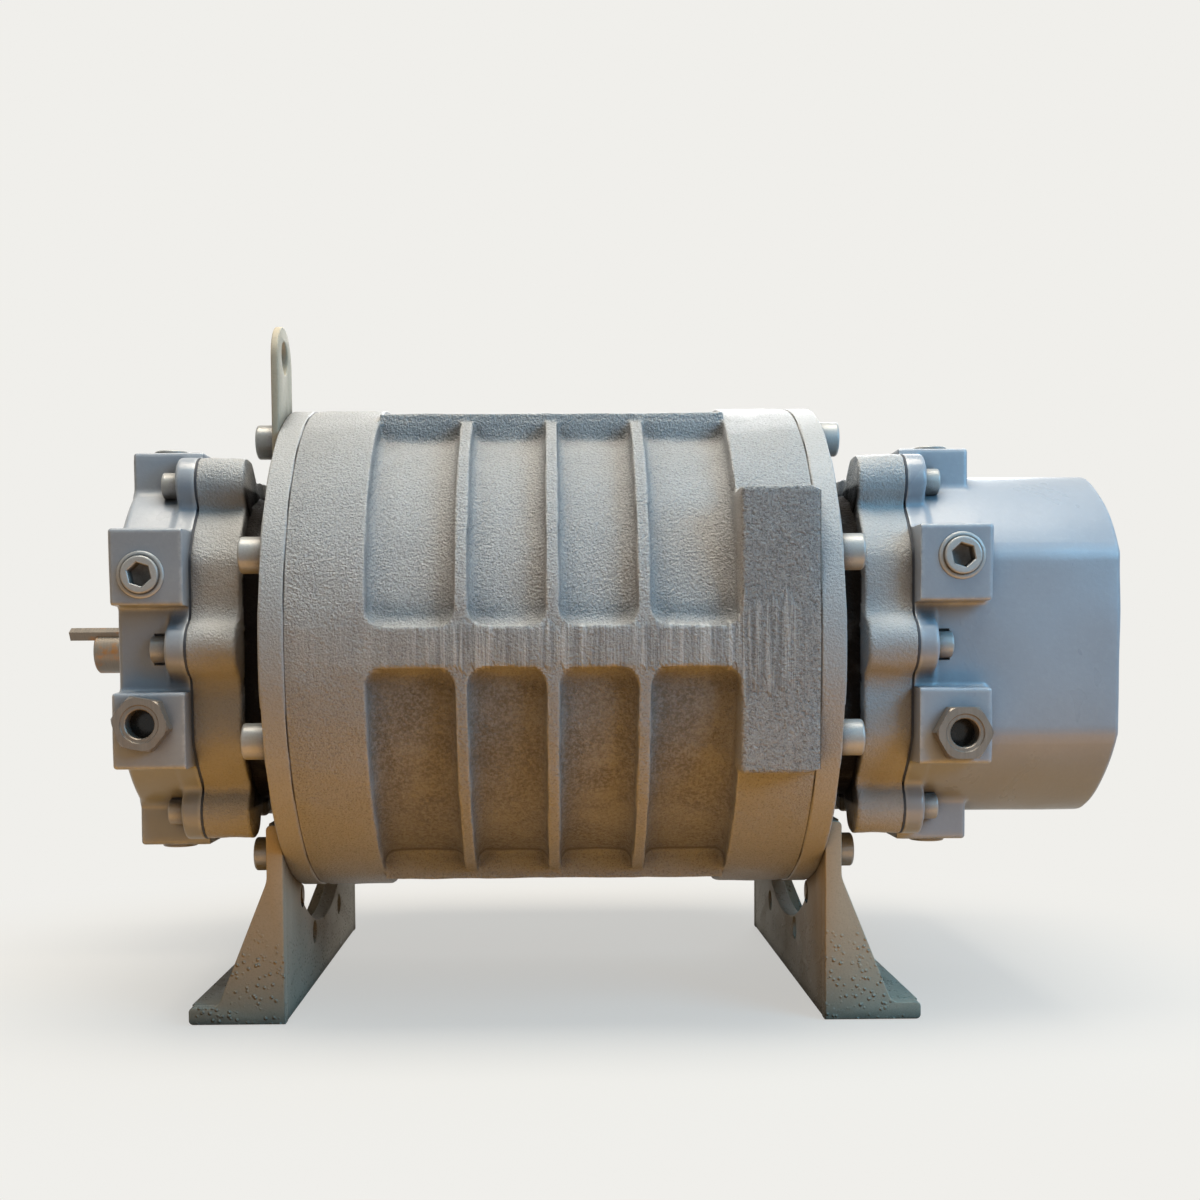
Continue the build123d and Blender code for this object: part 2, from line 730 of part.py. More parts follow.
def ball_groove(y):
    """Torus that both races of a ball bearing are ground to."""
    torus = Torus(bearing_pitch_radius, ball_diameter / 2 + race_clearance)
    return Pos(bearing_middle(), y, axis_height) * Rot(0, 90, 0) * torus


def ball_bearing(y):
    """Outer ring, inner ring and the caged balls of a locating bearing at the gear end."""
    shoulder = race_shoulder * ball_diameter / 2
    outer = ring(bearing_start, joint_face, bearing_outside, 2 * (bearing_pitch_radius + shoulder), y)
    inner = ring(bearing_start, joint_face, 2 * (bearing_pitch_radius - shoulder), journal_diameter, y)
    groove = ball_groove(y)
    cage = ring(bearing_start + cage_inset, joint_face - cage_inset, 2 * bearing_pitch_radius + cage_thickness,
                2 * bearing_pitch_radius - cage_thickness, y)
    for hole in round_about(Sphere(ball_diameter / 2 + cage_clearance), ball_count, y):
        cage -= hole
    balls = round_about(Sphere(ball_diameter / 2), ball_count, y)
    return outer - groove, inner - groove, group(balls + [cage])


def roller_bearing(y):
    """Outer ring, inner ring and the caged rollers of a floating bearing at the drive end."""
    reach = roller_diameter / 2 + race_clearance
    shoulder = race_shoulder * roller_diameter / 2
    outer = ring(bearing_start, joint_face, bearing_outside, 2 * (bearing_pitch_radius + shoulder), y)
    track = roller_length / 2 + race_clearance
    middle = bearing_middle()
    outer -= disc(middle - track, middle + track, 2 * (bearing_pitch_radius + reach), y)
    inner = ring(bearing_start, joint_face, 2 * (bearing_pitch_radius - reach), journal_diameter, y)
    cage = ring(bearing_start + cage_inset, joint_face - cage_inset, 2 * bearing_pitch_radius + cage_thickness,
                2 * bearing_pitch_radius - cage_thickness, y)
    window = Rot(0, 90, 0) * Cylinder(roller_diameter / 2 + cage_clearance, roller_length + 2 * cage_clearance)
    for hole in round_about(window, roller_count, y):
        cage -= hole
    rollers = round_about(Rot(0, 90, 0) * Cylinder(roller_diameter / 2, roller_length), roller_count, y)
    parts = outer, inner, group(rollers + [cage])
    return tuple(at_end(part, -1) for part in parts)


def rotor_seal_group(end):
    """Two shaft seals beside the rotor chamber."""
    start = half_chamber + seal_bottom
    inside = shoulder_diameter + 2 * lip_clearance
    seals = [ring(start, start + seal_width, seal_outside, inside, y) for y in (-rotor_y, rotor_y)]
    return group(at_end(seal, end) for seal in seals)


def drive_shaft_seal():
    """Lip seal in the boss of the drive end cover."""
    inside = seal_seat_diameter + 2 * lip_clearance
    return at_end(ring(seal_boss_face - seal_width, seal_boss_face, drive_seal_outside, inside, rotor_y), -1)


def retainer_group(end):
    """Two plates that hold the outer rings of the bearings."""
    plates = []
    for y in (-rotor_y, rotor_y):
        plate = ring(joint_face, joint_face + retainer_thickness, retainer_outside, retainer_inside, y)
        for p in retainer_screw_places(y):
            plate -= disc(joint_face, joint_face + retainer_thickness, retainer_screw_diameter, *p)
        plates.append(at_end(plate, end))
    return group(plates)


def retainer_screw_group(end):
    """Eight small screws through the bearing retainers."""
    seat = joint_face + retainer_thickness
    tip = joint_face - retainer_screw_grip + tip_room
    places = [p for y in (-rotor_y, rotor_y) for p in retainer_screw_places(y)]
    screws = [cap_screw(seat, tip, retainer_screw_diameter, retainer_screw_head, *p) for p in places]
    return group(at_end(screw, end) for screw in screws)


def build_nodes():
    """Every node of the blower, by name."""
    nodes = {"rotor_casing": rotor_casing(), "lifting_lug": lifting_lug(), "drive_shaft_seal": drive_shaft_seal()}
    for end, name in ((-1, "drive"), (1, "gear")):
        nodes[f"{name}_end_headplate"] = headplate(end)
        nodes[f"{name}_end_cover"] = cover(end)
        nodes[f"{name}_cover_gasket"] = gasket(end)
        nodes[f"{name}_headplate_screws"] = plate_screw_group(end)
        nodes[f"{name}_cover_screws"] = cover_screw_group(end)
        nodes[f"{name}_headplate_dowels"] = dowel_group(end)
        nodes[f"{name}_end_foot"] = foot(end)
        nodes[f"{name}_side_plugs"] = side_plug_group(end)
        nodes[f"{name}_fill_plugs"] = level_plug_group(end, 1)
        nodes[f"{name}_drain_plugs"] = level_plug_group(end, -1)
        nodes[f"{name}_sight_gauge"] = sight_gauge(end)
        nodes[f"{name}_gauge_lens"] = gauge_lens(end)
        nodes[f"{name}_rotor_seals"] = rotor_seal_group(end)
        nodes[f"{name}_bearing_retainers"] = retainer_group(end)
        nodes[f"{name}_retainer_screws"] = retainer_screw_group(end)
    for y, name in ((rotor_y, "driving"), (-rotor_y, "driven")):
        nodes[f"{name}_rotor"] = rotor(y)
        nodes[f"{name}_shaft"] = shaft(y, name == "driven")
        nodes[f"{name}_timing_gear"] = timing_gear(y)
        nodes[f"{name}_gear_key"] = gear_key(y)
        nodes[f"{name}_gear_nut"] = lock_nut(gear_nut_start, 1, y)
        nodes[f"{name}_slinger"] = slinger(y)
        nodes[f"{name}_slinger_nut"] = lock_nut(slinger_nut_start, -1, y)
        for kind, parts in (("ball_bearing", ball_bearing(y)), ("roller_bearing", roller_bearing(y))):
            for ending, piece in zip(("outer_ring", "inner_ring", "elements"), parts):
                nodes[f"{name}_{kind}_{ending}"] = piece
    nodes["coupling_key"] = coupling_key()
    return nodes


if __name__ == "__main__":
    os.makedirs("parts", exist_ok=True)
    for node_name, node_shape in build_nodes().items():
        export_step(node_shape, f"parts/{node_name}.step")
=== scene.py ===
import logging
import math
from dataclasses import dataclass, field
from enum import Enum, IntEnum
from typing import Callable, Dict, Iterable, List, Optional, Sequence, Tuple

import bmesh
import bpy
import numpy as np
from mathutils import Matrix


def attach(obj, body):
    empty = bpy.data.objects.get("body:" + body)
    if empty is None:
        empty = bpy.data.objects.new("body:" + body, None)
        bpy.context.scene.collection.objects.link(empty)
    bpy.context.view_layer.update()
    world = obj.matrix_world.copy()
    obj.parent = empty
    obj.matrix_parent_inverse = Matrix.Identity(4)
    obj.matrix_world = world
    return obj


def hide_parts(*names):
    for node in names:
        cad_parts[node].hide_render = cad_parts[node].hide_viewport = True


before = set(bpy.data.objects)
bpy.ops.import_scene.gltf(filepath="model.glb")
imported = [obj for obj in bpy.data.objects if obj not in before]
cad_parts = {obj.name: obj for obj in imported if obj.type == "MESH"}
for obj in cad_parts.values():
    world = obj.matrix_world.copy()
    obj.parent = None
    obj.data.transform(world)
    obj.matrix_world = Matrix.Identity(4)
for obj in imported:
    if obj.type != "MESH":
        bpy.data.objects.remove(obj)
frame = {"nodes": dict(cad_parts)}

# Looks of the rotary lobe blower. Lengths in this file are millimetres, and Z is measured from the
# rotor axes' level, until Mesh.to_data turns them into metres above the floor.

LOG = logging.getLogger("blower")
Array = np.ndarray
Field = Callable[[Array, Array, Array], Array]
Colour = Tuple[float, float, float]
Socket = bpy.types.NodeSocket

METRE = 1000.0
AXIS_HEIGHT = 206.0


class Body(str, Enum):
    """CAD bodies that the pieces ride on. The rotor sets keep their CAD nodes."""

    HOUSING = "housing"


class End(IntEnum):
    """Ends of the machine, by their sign along X. Shapes are made for the gear end and mirrored."""

    DRIVE = -1
    GEAR = 1

    @property
    def prefix(self) -> str:
        """Start of the names of the nodes at this end."""
        return self.name.lower()


# Distances.


def both(a: Array, b: Array, radius: float = 0.0) -> Array:
    """Overlap of two shapes, from their signed distances (negative inside).

    The larger distance, and within the radius of the corner a quarter circle instead.

    Args:
        a: Distance to the first shape.
        b: Distance to the second shape.
        radius: Rounding of the outer corner.

    Returns:
        Distance to the overlap.
    """
    if radius <= 0:
        return np.maximum(a, b)
    round_part = np.hypot(np.maximum(a + radius, 0), np.maximum(b + radius, 0))
    return np.minimum(np.maximum(a, b), -radius) + round_part


def either(a: Array, b: Array, fillet: float = 0.0) -> Array:
    """Union of two shapes with a concave fillet: the overlap of their outsides, turned round."""
    return -both(-a, -b, fillet)


def without(a: Array, b: Array, radius: float = 0.0) -> Array:
    """First shape with the second cut out of it and the rim rounded."""
    return both(a, -b, radius)


def slab(x: Array, start: float, stop: float) -> Array:
    """Distance to the layer between two planes: off its middle, less half its thickness."""
    return np.abs(x - (start + stop) / 2) - abs(stop - start) / 2


def round_rectangle(y: Array, z: Array, half_y: float, half_z: float, corner: float) -> Array:
    """Distance to a rectangle with round corners, in the plane.

    Args:
        y: First coordinate.
        z: Second coordinate.
        half_y: Half the width.
        half_z: Half the height.
        corner: Corner radius.

    Returns:
        Distance, negative inside.
    """
    q_y, q_z = np.abs(y) - half_y + corner, np.abs(z) - half_z + corner
    return np.hypot(np.maximum(q_y, 0), np.maximum(q_z, 0)) + np.minimum(np.maximum(q_y, q_z), 0) - corner


def box_distance(point: Sequence[Array], centre: Sequence[float], half: Sequence[float], radius: float) -> Array:
    """Distance to a box with rounded edges.

    Args:
        point: X, Y and Z arrays.
        centre: Middle of the box.
        half: Half sizes.
        radius: Edge radius.

    Returns:
        Distance, negative inside.
    """
    q = [np.abs(p - c) - h + radius for p, c, h in zip(point, centre, half)]
    outside = np.sqrt(sum(np.maximum(v, 0) ** 2 for v in q))
    return outside + np.minimum(np.maximum(np.maximum(q[0], q[1]), q[2]), 0) - radius


WAVES = ((1.0, 0.35, -0.5, 0.3), (-0.4, 1.1, 0.6, 1.7), (0.7, -0.6, 0.9, 4.1), (0.2, 0.8, -1.2, 2.6))


def casting_waves(x: Array, y: Array, z: Array, size: float, height: float) -> Array:
    """Slow unevenness of a sand casting: a sum of slanted sine waves of about one wavelength."""
    total = np.zeros(np.broadcast(x, y, z).shape)
    for a, b, c, phase in WAVES:
        total += np.sin(2 * math.pi * (a * x + b * y + c * z) / size + phase)
    return total * height / len(WAVES)


# Meshes.


def lines(start: float, stop: float, step: float, keys: Sequence[float] = (), near: Sequence[float] = ()) -> Array:
    """Grid line positions: an even ladder, with finer lines on both sides of key positions.

    Args:
        start: First line.
        stop: Last line.
        step: Spacing away from the keys.
        keys: Positions of edges that the grid has to show crisply.
        near: Distances from a key at which lines are added.

    Returns:
        Sorted positions without near doubles.
    """
    low, high = min(start, stop), max(start, stop)
    even = np.linspace(low, high, max(2, int(round((high - low) / step)) + 1))
    close = np.array([k + s * n for k in keys for n in near for s in (-1, 1)])
    close = close[(close > low) & (close < high)] if len(close) else close
    if len(close):
        gap = np.abs(even[1:-1, None] - close[None, :]).min(1)
        even = np.concatenate([even[:1], even[1:-1][gap > step * 0.45], even[-1:]])
    merged = np.sort(np.concatenate([even, close]))
    keep = np.concatenate([[True], np.diff(merged) > 0.04])
    keep[-1] = True
    merged = merged[keep]
    return merged if start < stop else merged[::-1]


NEAR_EDGE = (0.05, 0.5, 1.1, 1.9, 3.0, 4.6)
SHARP_ANGLE = 38.0


@dataclass
class Mesh:
    """Vertices and faces in millimetres, on their way to a Blender object."""

    points: Array
    faces: List[Array]

    @staticmethod
    def grid(points: Array, close_u: bool = False, close_v: bool = False) -> "Mesh":
        """Quads over a grid of points.

        Args:
            points: Array of shape (rows, columns, 3).
            close_u: Whether the last row joins the first.
            close_v: Whether the last column joins the first.

        Returns:
            The mesh.
        """
        rows, columns = points.shape[:2]
        u = np.arange(rows if close_u else rows - 1)
        v = np.arange(columns if close_v else columns - 1)
        uu, vv = np.meshgrid(u, v, indexing="ij")
        un, vn = (uu + 1) % rows, (vv + 1) % columns
        quads = np.stack([uu * columns + vv, un * columns + vv, un * columns + vn, uu * columns + vn], -1)
        return Mesh(points.reshape(-1, 3), [quads.reshape(-1, 4)])

    @staticmethod
    def join(parts: Iterable["Mesh"]) -> "Mesh":
        """One mesh of several, their faces renumbered."""
        points, faces, start = [], [], 0
        for part in parts:
            points.append(part.points)
            faces += [f + start for f in part.faces]
            start += len(part.points)
        return Mesh(np.concatenate(points), faces)

    def moved(self, matrix: Array, shift: Sequence[float]) -> "Mesh":
        """Copy with every point turned by the matrix and then shifted."""
        return Mesh(self.points @ np.asarray(matrix, float).T + np.asarray(shift, float), self.faces)

    def at_end(self, end: End) -> "Mesh":
        """The mesh itself for the gear end. For the drive end X changes sign and the faces turn round."""
        if end == End.GEAR:
            return self
        return Mesh(self.points * np.array([-1.0, 1.0, 1.0]), [f[:, ::-1] for f in self.faces])

    def to_data(self, name: str) -> bpy.types.Mesh:
        """Blender mesh in metres above the floor, merged, closed at its poles and smooth-shaded.

        Args:
            name: Name of the mesh.

        Returns:
            The mesh data.
        """
        data = bpy.data.meshes.new(name)
        metres = (self.points + np.array([0.0, 0.0, AXIS_HEIGHT])) / METRE
        flat = [row for block in self.faces for row in block.tolist()]
        data.from_pydata(metres.tolist(), [], flat)
        work = bmesh.new()
        work.from_mesh(data)
        bmesh.ops.remove_doubles(work, verts=work.verts, dist=2e-6)
        bmesh.ops.dissolve_degenerate(work, edges=work.edges, dist=1e-6)
        bmesh.ops.recalc_face_normals(work, faces=work.faces)
        work.to_mesh(data)
        work.free()
        return smoothed(data)


def wrap(rays_from: Array, rays_to: Array, shape: Field, far: float) -> Array:
    """Points where rays coming in from outside first meet a shape.

    Each ray steps inwards by its distance to the shape until it touches.

    Args:
        rays_from: Inner ends of the rays, shape (..., 3).
        rays_to: Unit directions outwards, same shape.
        shape: Signed distance of X, Y and Z.
        far: Where the rays start, measured from their inner ends.

    Returns:
        The points, same shape.
    """
    reach = np.full(rays_from.shape[:-1], far)
    for _ in range(90):
        at = rays_from + rays_to * reach[..., None]
        reach = np.maximum(reach - shape(at[..., 0], at[..., 1], at[..., 2]) * 0.98, 0.0)
    return rays_from + rays_to * reach[..., None]


@dataclass(frozen=True)
class Rim:
    """Closed run of rays round an inner rectangle: square to its sides, fanned at its corners."""

    half_y: float
    half_z: float
    side_keys: Tuple[float, ...] = ()
    fan_keys: Tuple[float, ...] = ()
    top_keys: Tuple[float, ...] = ()
    step: float = 6.0
    fan_step: float = 4.0
    near_fan: Tuple[float, ...] = (0.04, 0.4, 0.9, 1.6, 2.6)

    def rays(self) -> Tuple[Array, Array]:
        """Starts (y, z) and directions (y, z) of the rays, in order round the X axis.

        Returns:
            Two arrays of shape (count, 2).
        """
        side = lines(0.0, self.half_z, self.step, self.side_keys, NEAR_EDGE) if self.half_z > 0 else np.array([0.0])
        fan = np.radians(lines(0.0, 90.0, self.fan_step, self.fan_keys, self.near_fan))
        top = lines(self.half_y, 0.0, self.step, self.top_keys, NEAR_EDGE)
        start = np.concatenate([
            np.column_stack([np.full(len(side), self.half_y), side]),
            np.column_stack([np.full(len(fan), self.half_y), np.full(len(fan), self.half_z)]),
            np.column_stack([top, np.full(len(top), self.half_z)])])
        way = np.concatenate([
            np.tile([1.0, 0.0], (len(side), 1)),
            np.column_stack([np.cos(fan), np.sin(fan)]),
            np.tile([0.0, 1.0], (len(top), 1))])
        rays = np.concatenate([start, way], 1)
        fresh = np.concatenate([[True], np.abs(np.diff(rays, axis=0)).sum(1) > 1e-6])
        quarter = [rays[fresh]]
        quarter.append(quarter[0][::-1] * [-1, 1, -1, 1])
        quarter.append(quarter[0] * [-1, -1, -1, -1])
        quarter.append(quarter[0][::-1] * [1, -1, 1, -1])
        loop = np.concatenate([q[:-1] for q in quarter])
        return loop[:, :2], loop[:, 2:]


@dataclass(frozen=True)
class Skin:
    """Closed surface of a shape, found along rays square to the X axis and over both ends.

    The first grid parameter runs round the rim, the second along X and then over the end faces.
    """

    rim: Rim
    shape: Field
    start: float
    stop: float
    x_keys: Tuple[float, ...]
    step: float = 5.0
    round_start: float = 0.0
    round_stop: float = 0.0
    far: float = 260.0

    def mesh(self) -> Mesh:
        """The surface as one closed grid.

        Returns:
            The mesh, open nowhere once its poles are merged.
        """
        origin, way = self.rim.rays()
        inset = 1e-3
        along = lines(self.start + self.round_start + inset, self.stop - self.round_stop - inset, self.step,
                      self.x_keys, NEAR_EDGE)
        tilt = np.concatenate([np.zeros(len(along)), np.linspace(0, 90, 9)[1:] if self.round_stop else []])
        x = np.concatenate([along, np.full(len(tilt) - len(along), self.stop - self.round_stop)])
        if self.round_start:
            tilt = np.concatenate([np.linspace(-90, 0, 9)[:-1], tilt])
            x = np.concatenate([np.full(8, self.start + self.round_start), x])
        tilt = np.radians(tilt)[:, None]
        inner = self._edge_reach(origin, way)
        start = np.stack(np.broadcast_arrays(x[:, None], origin[None, :, 0], origin[None, :, 1]), -1).astype(float)
        start[..., 1:] += way[None] * inner[None, :, None] * (np.abs(tilt) > 0)[..., None]
        outwards = np.cos(tilt)[..., None] * way[None]
        direction = np.concatenate([np.broadcast_to(np.sin(tilt)[..., None], outwards[..., :1].shape), outwards], -1)
        side = wrap(start, direction, self.shape, self.far)
        return Mesh.grid(np.concatenate([self._cap(side[0], True), side, self._cap(side[-1], False)]), close_v=True)

    def _edge_reach(self, origin: Array, way: Array) -> Array:
        """How far along each ray the centre line of a rounded end edge lies."""
        reach = max(self.round_start, self.round_stop)
        if not reach:
            return np.zeros(len(origin))
        x = self.stop - self.round_stop - 1.0 if self.round_stop else self.start + self.round_start + 1.0
        start = np.column_stack([np.full(len(origin), x), origin])
        hit = wrap(start, np.column_stack([np.zeros(len(way)), way]), self.shape, self.far)
        return np.maximum(np.hypot(*(hit[:, 1:] - origin).T) - reach, 0.0)

    def _cap(self, edge: Array, first: bool) -> Array:
        """Flat end face: the edge drawn in towards the rim's rectangle and then to one point."""
        plane = self.start if first else self.stop
        origin, _ = self.rim.rays()
        centre = np.zeros_like(edge)
        centre[:, 0] = plane
        ring = np.column_stack([np.full(len(edge), plane), origin])
        outer = edge.copy()
        outer[:, 0] = plane
        steps = [outer, outer * 0.985 + ring * 0.015, outer * 0.5 + ring * 0.5, ring, centre]
        return np.stack(steps[::-1] if first else steps)


def full_turn(count: int) -> Array:
    """Angles of an even division of the circle."""
    return np.linspace(0, 2 * math.pi, count, endpoint=False)


def spun(x: Array, reach: Array, angle: Array) -> Mesh:
    """Closed surface round the X axis: one row of points for each x, its reach given for every angle."""
    points = np.broadcast_arrays(x[:, None], reach * np.cos(angle), reach * np.sin(angle))
    return Mesh.grid(np.stack(points, -1), close_v=True)


def hexagon_reach(angle: Array, half_width: float = 1.0) -> Array:
    """Reach of a hexagon at each angle, from half its width across the flats."""
    return half_width / np.cos((angle + math.pi / 6) % (math.pi / 3) - math.pi / 6)


def turned(profile: Sequence[Tuple[float, float]], sides: int = 48) -> Mesh:
    """Solid of revolution about X: each (x, radius) pair of a profile carried round a circle.

    Args:
        profile: Points from one pole to the other.
        sides: Divisions of the circle.

    Returns:
        The closed mesh.
    """
    x, radius = np.array(profile, float).T
    return spun(x, radius[:, None], full_turn(sides))


def rounded(corner: Tuple[float, float], before: Tuple[float, float], after: Tuple[float, float], radius: float,
            count: int = 4) -> List[Tuple[float, float]]:
    """Arc that replaces a square corner of a profile.

    Args:
        corner: The corner point.
        before: Unit step from the corner back along the profile.
        after: Unit step from the corner onwards.
        radius: Corner radius.
        count: Divisions of the arc.

    Returns:
        Points along the arc.
    """
    c, a, b = (np.array(v, float) for v in (corner, before, after))
    middle = c + (a + b) * radius
    turn = np.linspace(0, math.pi / 2, count + 1)[:, None]
    return [tuple(p) for p in middle - b * radius * np.cos(turn) - a * radius * np.sin(turn)]


def prism(outline: Array, start: float, stop: float) -> Mesh:
    """Solid between two X planes over a closed outline that its own middle point sees all of."""
    ring = np.concatenate([np.zeros((len(outline), 1)), outline], 1)
    middle = np.tile(ring.mean(0), (len(ring), 1))
    steps = [middle + [start, 0, 0], ring + [start, 0, 0], ring + [stop, 0, 0], middle + [stop, 0, 0]]
    return Mesh.grid(np.stack(steps), close_v=True)


def plate(outlines: Sequence[Array], thickness: float, bevel: float) -> Mesh:
    """Flat plate with holes and rounded edges, in its own plane, its thickness centred on zero.

    Args:
        outlines: Closed outlines of shape (count, 2); an outline inside another is a hole.
        thickness: Plate thickness.
        bevel: Rounding of all edges.

    Returns:
        The mesh.
    """
    curve = bpy.data.curves.new("plate", "CURVE")
    curve.dimensions, curve.fill_mode = "2D", "BOTH"
    curve.extrude, curve.bevel_depth = thickness / 2 - bevel, bevel
    curve.bevel_resolution, curve.offset = 2, -bevel
    for outline in outlines:
        spline = curve.splines.new("POLY")
        spline.points.add(len(outline) - 1)
        flat = np.column_stack([outline, np.zeros(len(outline)), np.ones(len(outline))])
        spline.points.foreach_set("co", flat.ravel())
        spline.use_cyclic_u = True
    carrier = bpy.data.objects.new("plate", curve)
    data = bpy.data.meshes.new_from_object(carrier)
    points = np.empty(len(data.vertices) * 3)
    data.vertices.foreach_get("co", points)
    faces: Dict[int, List[List[int]]] = {}
    for polygon in data.polygons:
        faces.setdefault(len(polygon.vertices), []).append(list(polygon.vertices))
    bpy.data.objects.remove(carrier)
    bpy.data.curves.remove(curve)
    bpy.data.meshes.remove(data)
    return Mesh(points.reshape(-1, 3), [np.array(group) for group in faces.values()])


def circle(centre: Sequence[float], radius: float, count: int = 40, start: float = 0.0, stop: float = 360.0) -> Array:
    """Points round a circle or arc, in degrees, without the end point of a whole turn."""
    angle = np.radians(np.linspace(start, stop, count, endpoint=abs(stop - start) < 359.9))
    return np.column_stack([centre[0] + radius * np.cos(angle), centre[1] + radius * np.sin(angle)])


def softened(corners: Sequence[Sequence[float]], radii: Sequence[float], count: int = 6) -> Array:
    """Outline through corner points, each corner replaced by an arc of its own radius.

    The arc touches both sides: its middle lies on the bisector, its ends at radius over the
    tangent of half the corner angle.

    Args:
        corners: Corner points in order.
        radii: One radius for each corner, zero for a sharp one.
        count: Divisions of an arc.

    Returns:
        The outline.
    """
    points = np.array(corners, float)
    result = []
    for index, radius in enumerate(radii):
        here, back, on = points[index], points[index - 1], points[(index + 1) % len(points)]
        if radius <= 0:
            result.append(here[None])
            continue
        a, b = back - here, on - here
        a, b = a / np.hypot(*a), b / np.hypot(*b)
        half = math.acos(float(np.clip(a @ b, -1, 1))) / 2
        middle = here + (a + b) / np.hypot(*(a + b)) * radius / math.sin(half)
        first, last = here + a * radius / math.tan(half) - middle, here + b * radius / math.tan(half) - middle
        t = np.linspace(0, 1, count + 1)[:, None]
        angle = math.pi - 2 * half
        result.append(middle + (np.sin((1 - t) * angle) * first + np.sin(t * angle) * last) / math.sin(angle))
    return np.concatenate(result)


# The machine.


@dataclass(frozen=True)
class Layout:
    """Sizes of the CAD frame that several sub-assemblies share."""

    case_radius: float = 140.0
    case_half_spacing: float = 53.0
    chamber_end: float = 135.5
    plate_face: float = 148.5
    housing_start: float = 164.5
    joint_face: float = 190.0
    cover_start: float = 191.2
    flange_face: float = 201.7
    boss_end: float = 229.2
    drive_end: float = 229.2
    gear_end: float = 301.2
    cover_half_width: float = 158.0
    cover_half_height: float = 95.0
    cover_radius: float = 100.5
    crease: float = 2.5
    lug_radius: float = 15.0
    cover_lugs: Tuple[Tuple[float, float], ...] = ((156.5, 0.0), (128.0, 89.0), (0.0, 89.0))
    rotor_y: float = 70.0
    chamber_radius: float = 93.4833
    plate_screw_circle: float = 126.0
    plate_screw_radius: float = 6.35
    plug_x: float = 212.7
    side_boss_face: float = 171.0
    top_boss_face: float = 108.0
    top_boss_y: float = 103.0

    def case_reach(self, y: Array, z: Array) -> Array:
        """Distance from the line between the centres of the two rounds of the casing."""
        return np.hypot(np.maximum(np.abs(y) - self.case_half_spacing, 0), z)

    def cover_screws(self) -> List[Tuple[float, float]]:
        """Places of the eight cover screws, in Y and Z."""
        (middle, _), (corner, height), _ = self.cover_lugs
        places = [(s * middle, 0.0) for s in (-1, 1)]
        return places + [(y, z) for y in (-corner, 0.0, corner) for z in (-height, height)]

    def plate_screws(self) -> List[Tuple[float, float]]:
        """Places of the ten headplate screws, in Y and Z."""
        places = []
        for side in (-1, 1):
            for degrees in (-67.5, -22.5, 22.5, 67.5):
                a = math.radians(degrees)
                places.append((side * (self.case_half_spacing + self.plate_screw_circle * math.cos(a)),
                               self.plate_screw_circle * math.sin(a)))
        return places + [(0.0, self.plate_screw_circle), (0.0, -self.plate_screw_circle)]

    def shell(self, y: Array, z: Array) -> Array:
        """Distance to the outline of a cover: rounds about both rotor axes, cut by four flats."""
        rounds = np.hypot(np.maximum(np.abs(y) - self.rotor_y, 0), z) - self.cover_radius
        upright_cut = both(rounds, np.abs(y) - self.cover_half_width, self.crease)
        return both(upright_cut, np.abs(z) - self.cover_half_height, self.crease)

    def lobed(self, y: Array, z: Array) -> Array:
        """Distance to the outline with screw lugs that housing and cover share.

        The shell outline, joined with a soft fillet to a circle round each screw. The four
        quarters are alike, so only one is worked out.
        """
        a, b = np.abs(y), np.abs(z)
        outline = self.shell(y, z)
        for lug_y, lug_z in self.cover_lugs:
            outline = either(outline, np.hypot(a - lug_y, b - lug_z) - self.lug_radius, 6.0)
        return outline


LAYOUT = Layout()
BEARING_CORE = (96.0, 33.0)


@dataclass
class Workshop:
    """Puts finished meshes into the scene and reports each of them."""

    nodes: Dict[str, bpy.types.Object]
    made: List[str] = field(default_factory=list)

    def show(self, mesh: "Mesh | bpy.types.Mesh", node: str, body: Body, material: bpy.types.Material) -> None:
        """Adds a piece that stands for a CAD node.

        Args:
            mesh: Its surface.
            node: The CAD node that it replaces.
            body: The body that it rides on.
            material: Its finish.
        """
        data = mesh.to_data(node + "_skin") if isinstance(mesh, Mesh) else mesh
        data.materials.clear()
        data.materials.append(material)
        piece = bpy.data.objects.new(node + "_skin", data)
        bpy.context.scene.collection.objects.link(piece)
        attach(piece, body.value)
        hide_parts(node)
        self.made.append(piece.name)
        LOG.info("%s: %d faces on %s", piece.name, len(data.polygons), body.value)

    def dress(self, node: str, material: bpy.types.Material) -> None:
        """Gives a CAD node that stays visible its finish."""
        piece = self.nodes[node]
        if not piece.material_slots:
            piece.data.materials.append(material)
        for place in piece.material_slots:
            place.material = material
        LOG.info("%s: dressed in %s", node, material.name)


def smoothed(data: bpy.types.Mesh) -> bpy.types.Mesh:
    """Shades a mesh smooth, apart from its crisp edges."""
    data.shade_smooth()
    data.set_sharp_from_angle(angle=math.radians(SHARP_ANGLE))
    return data


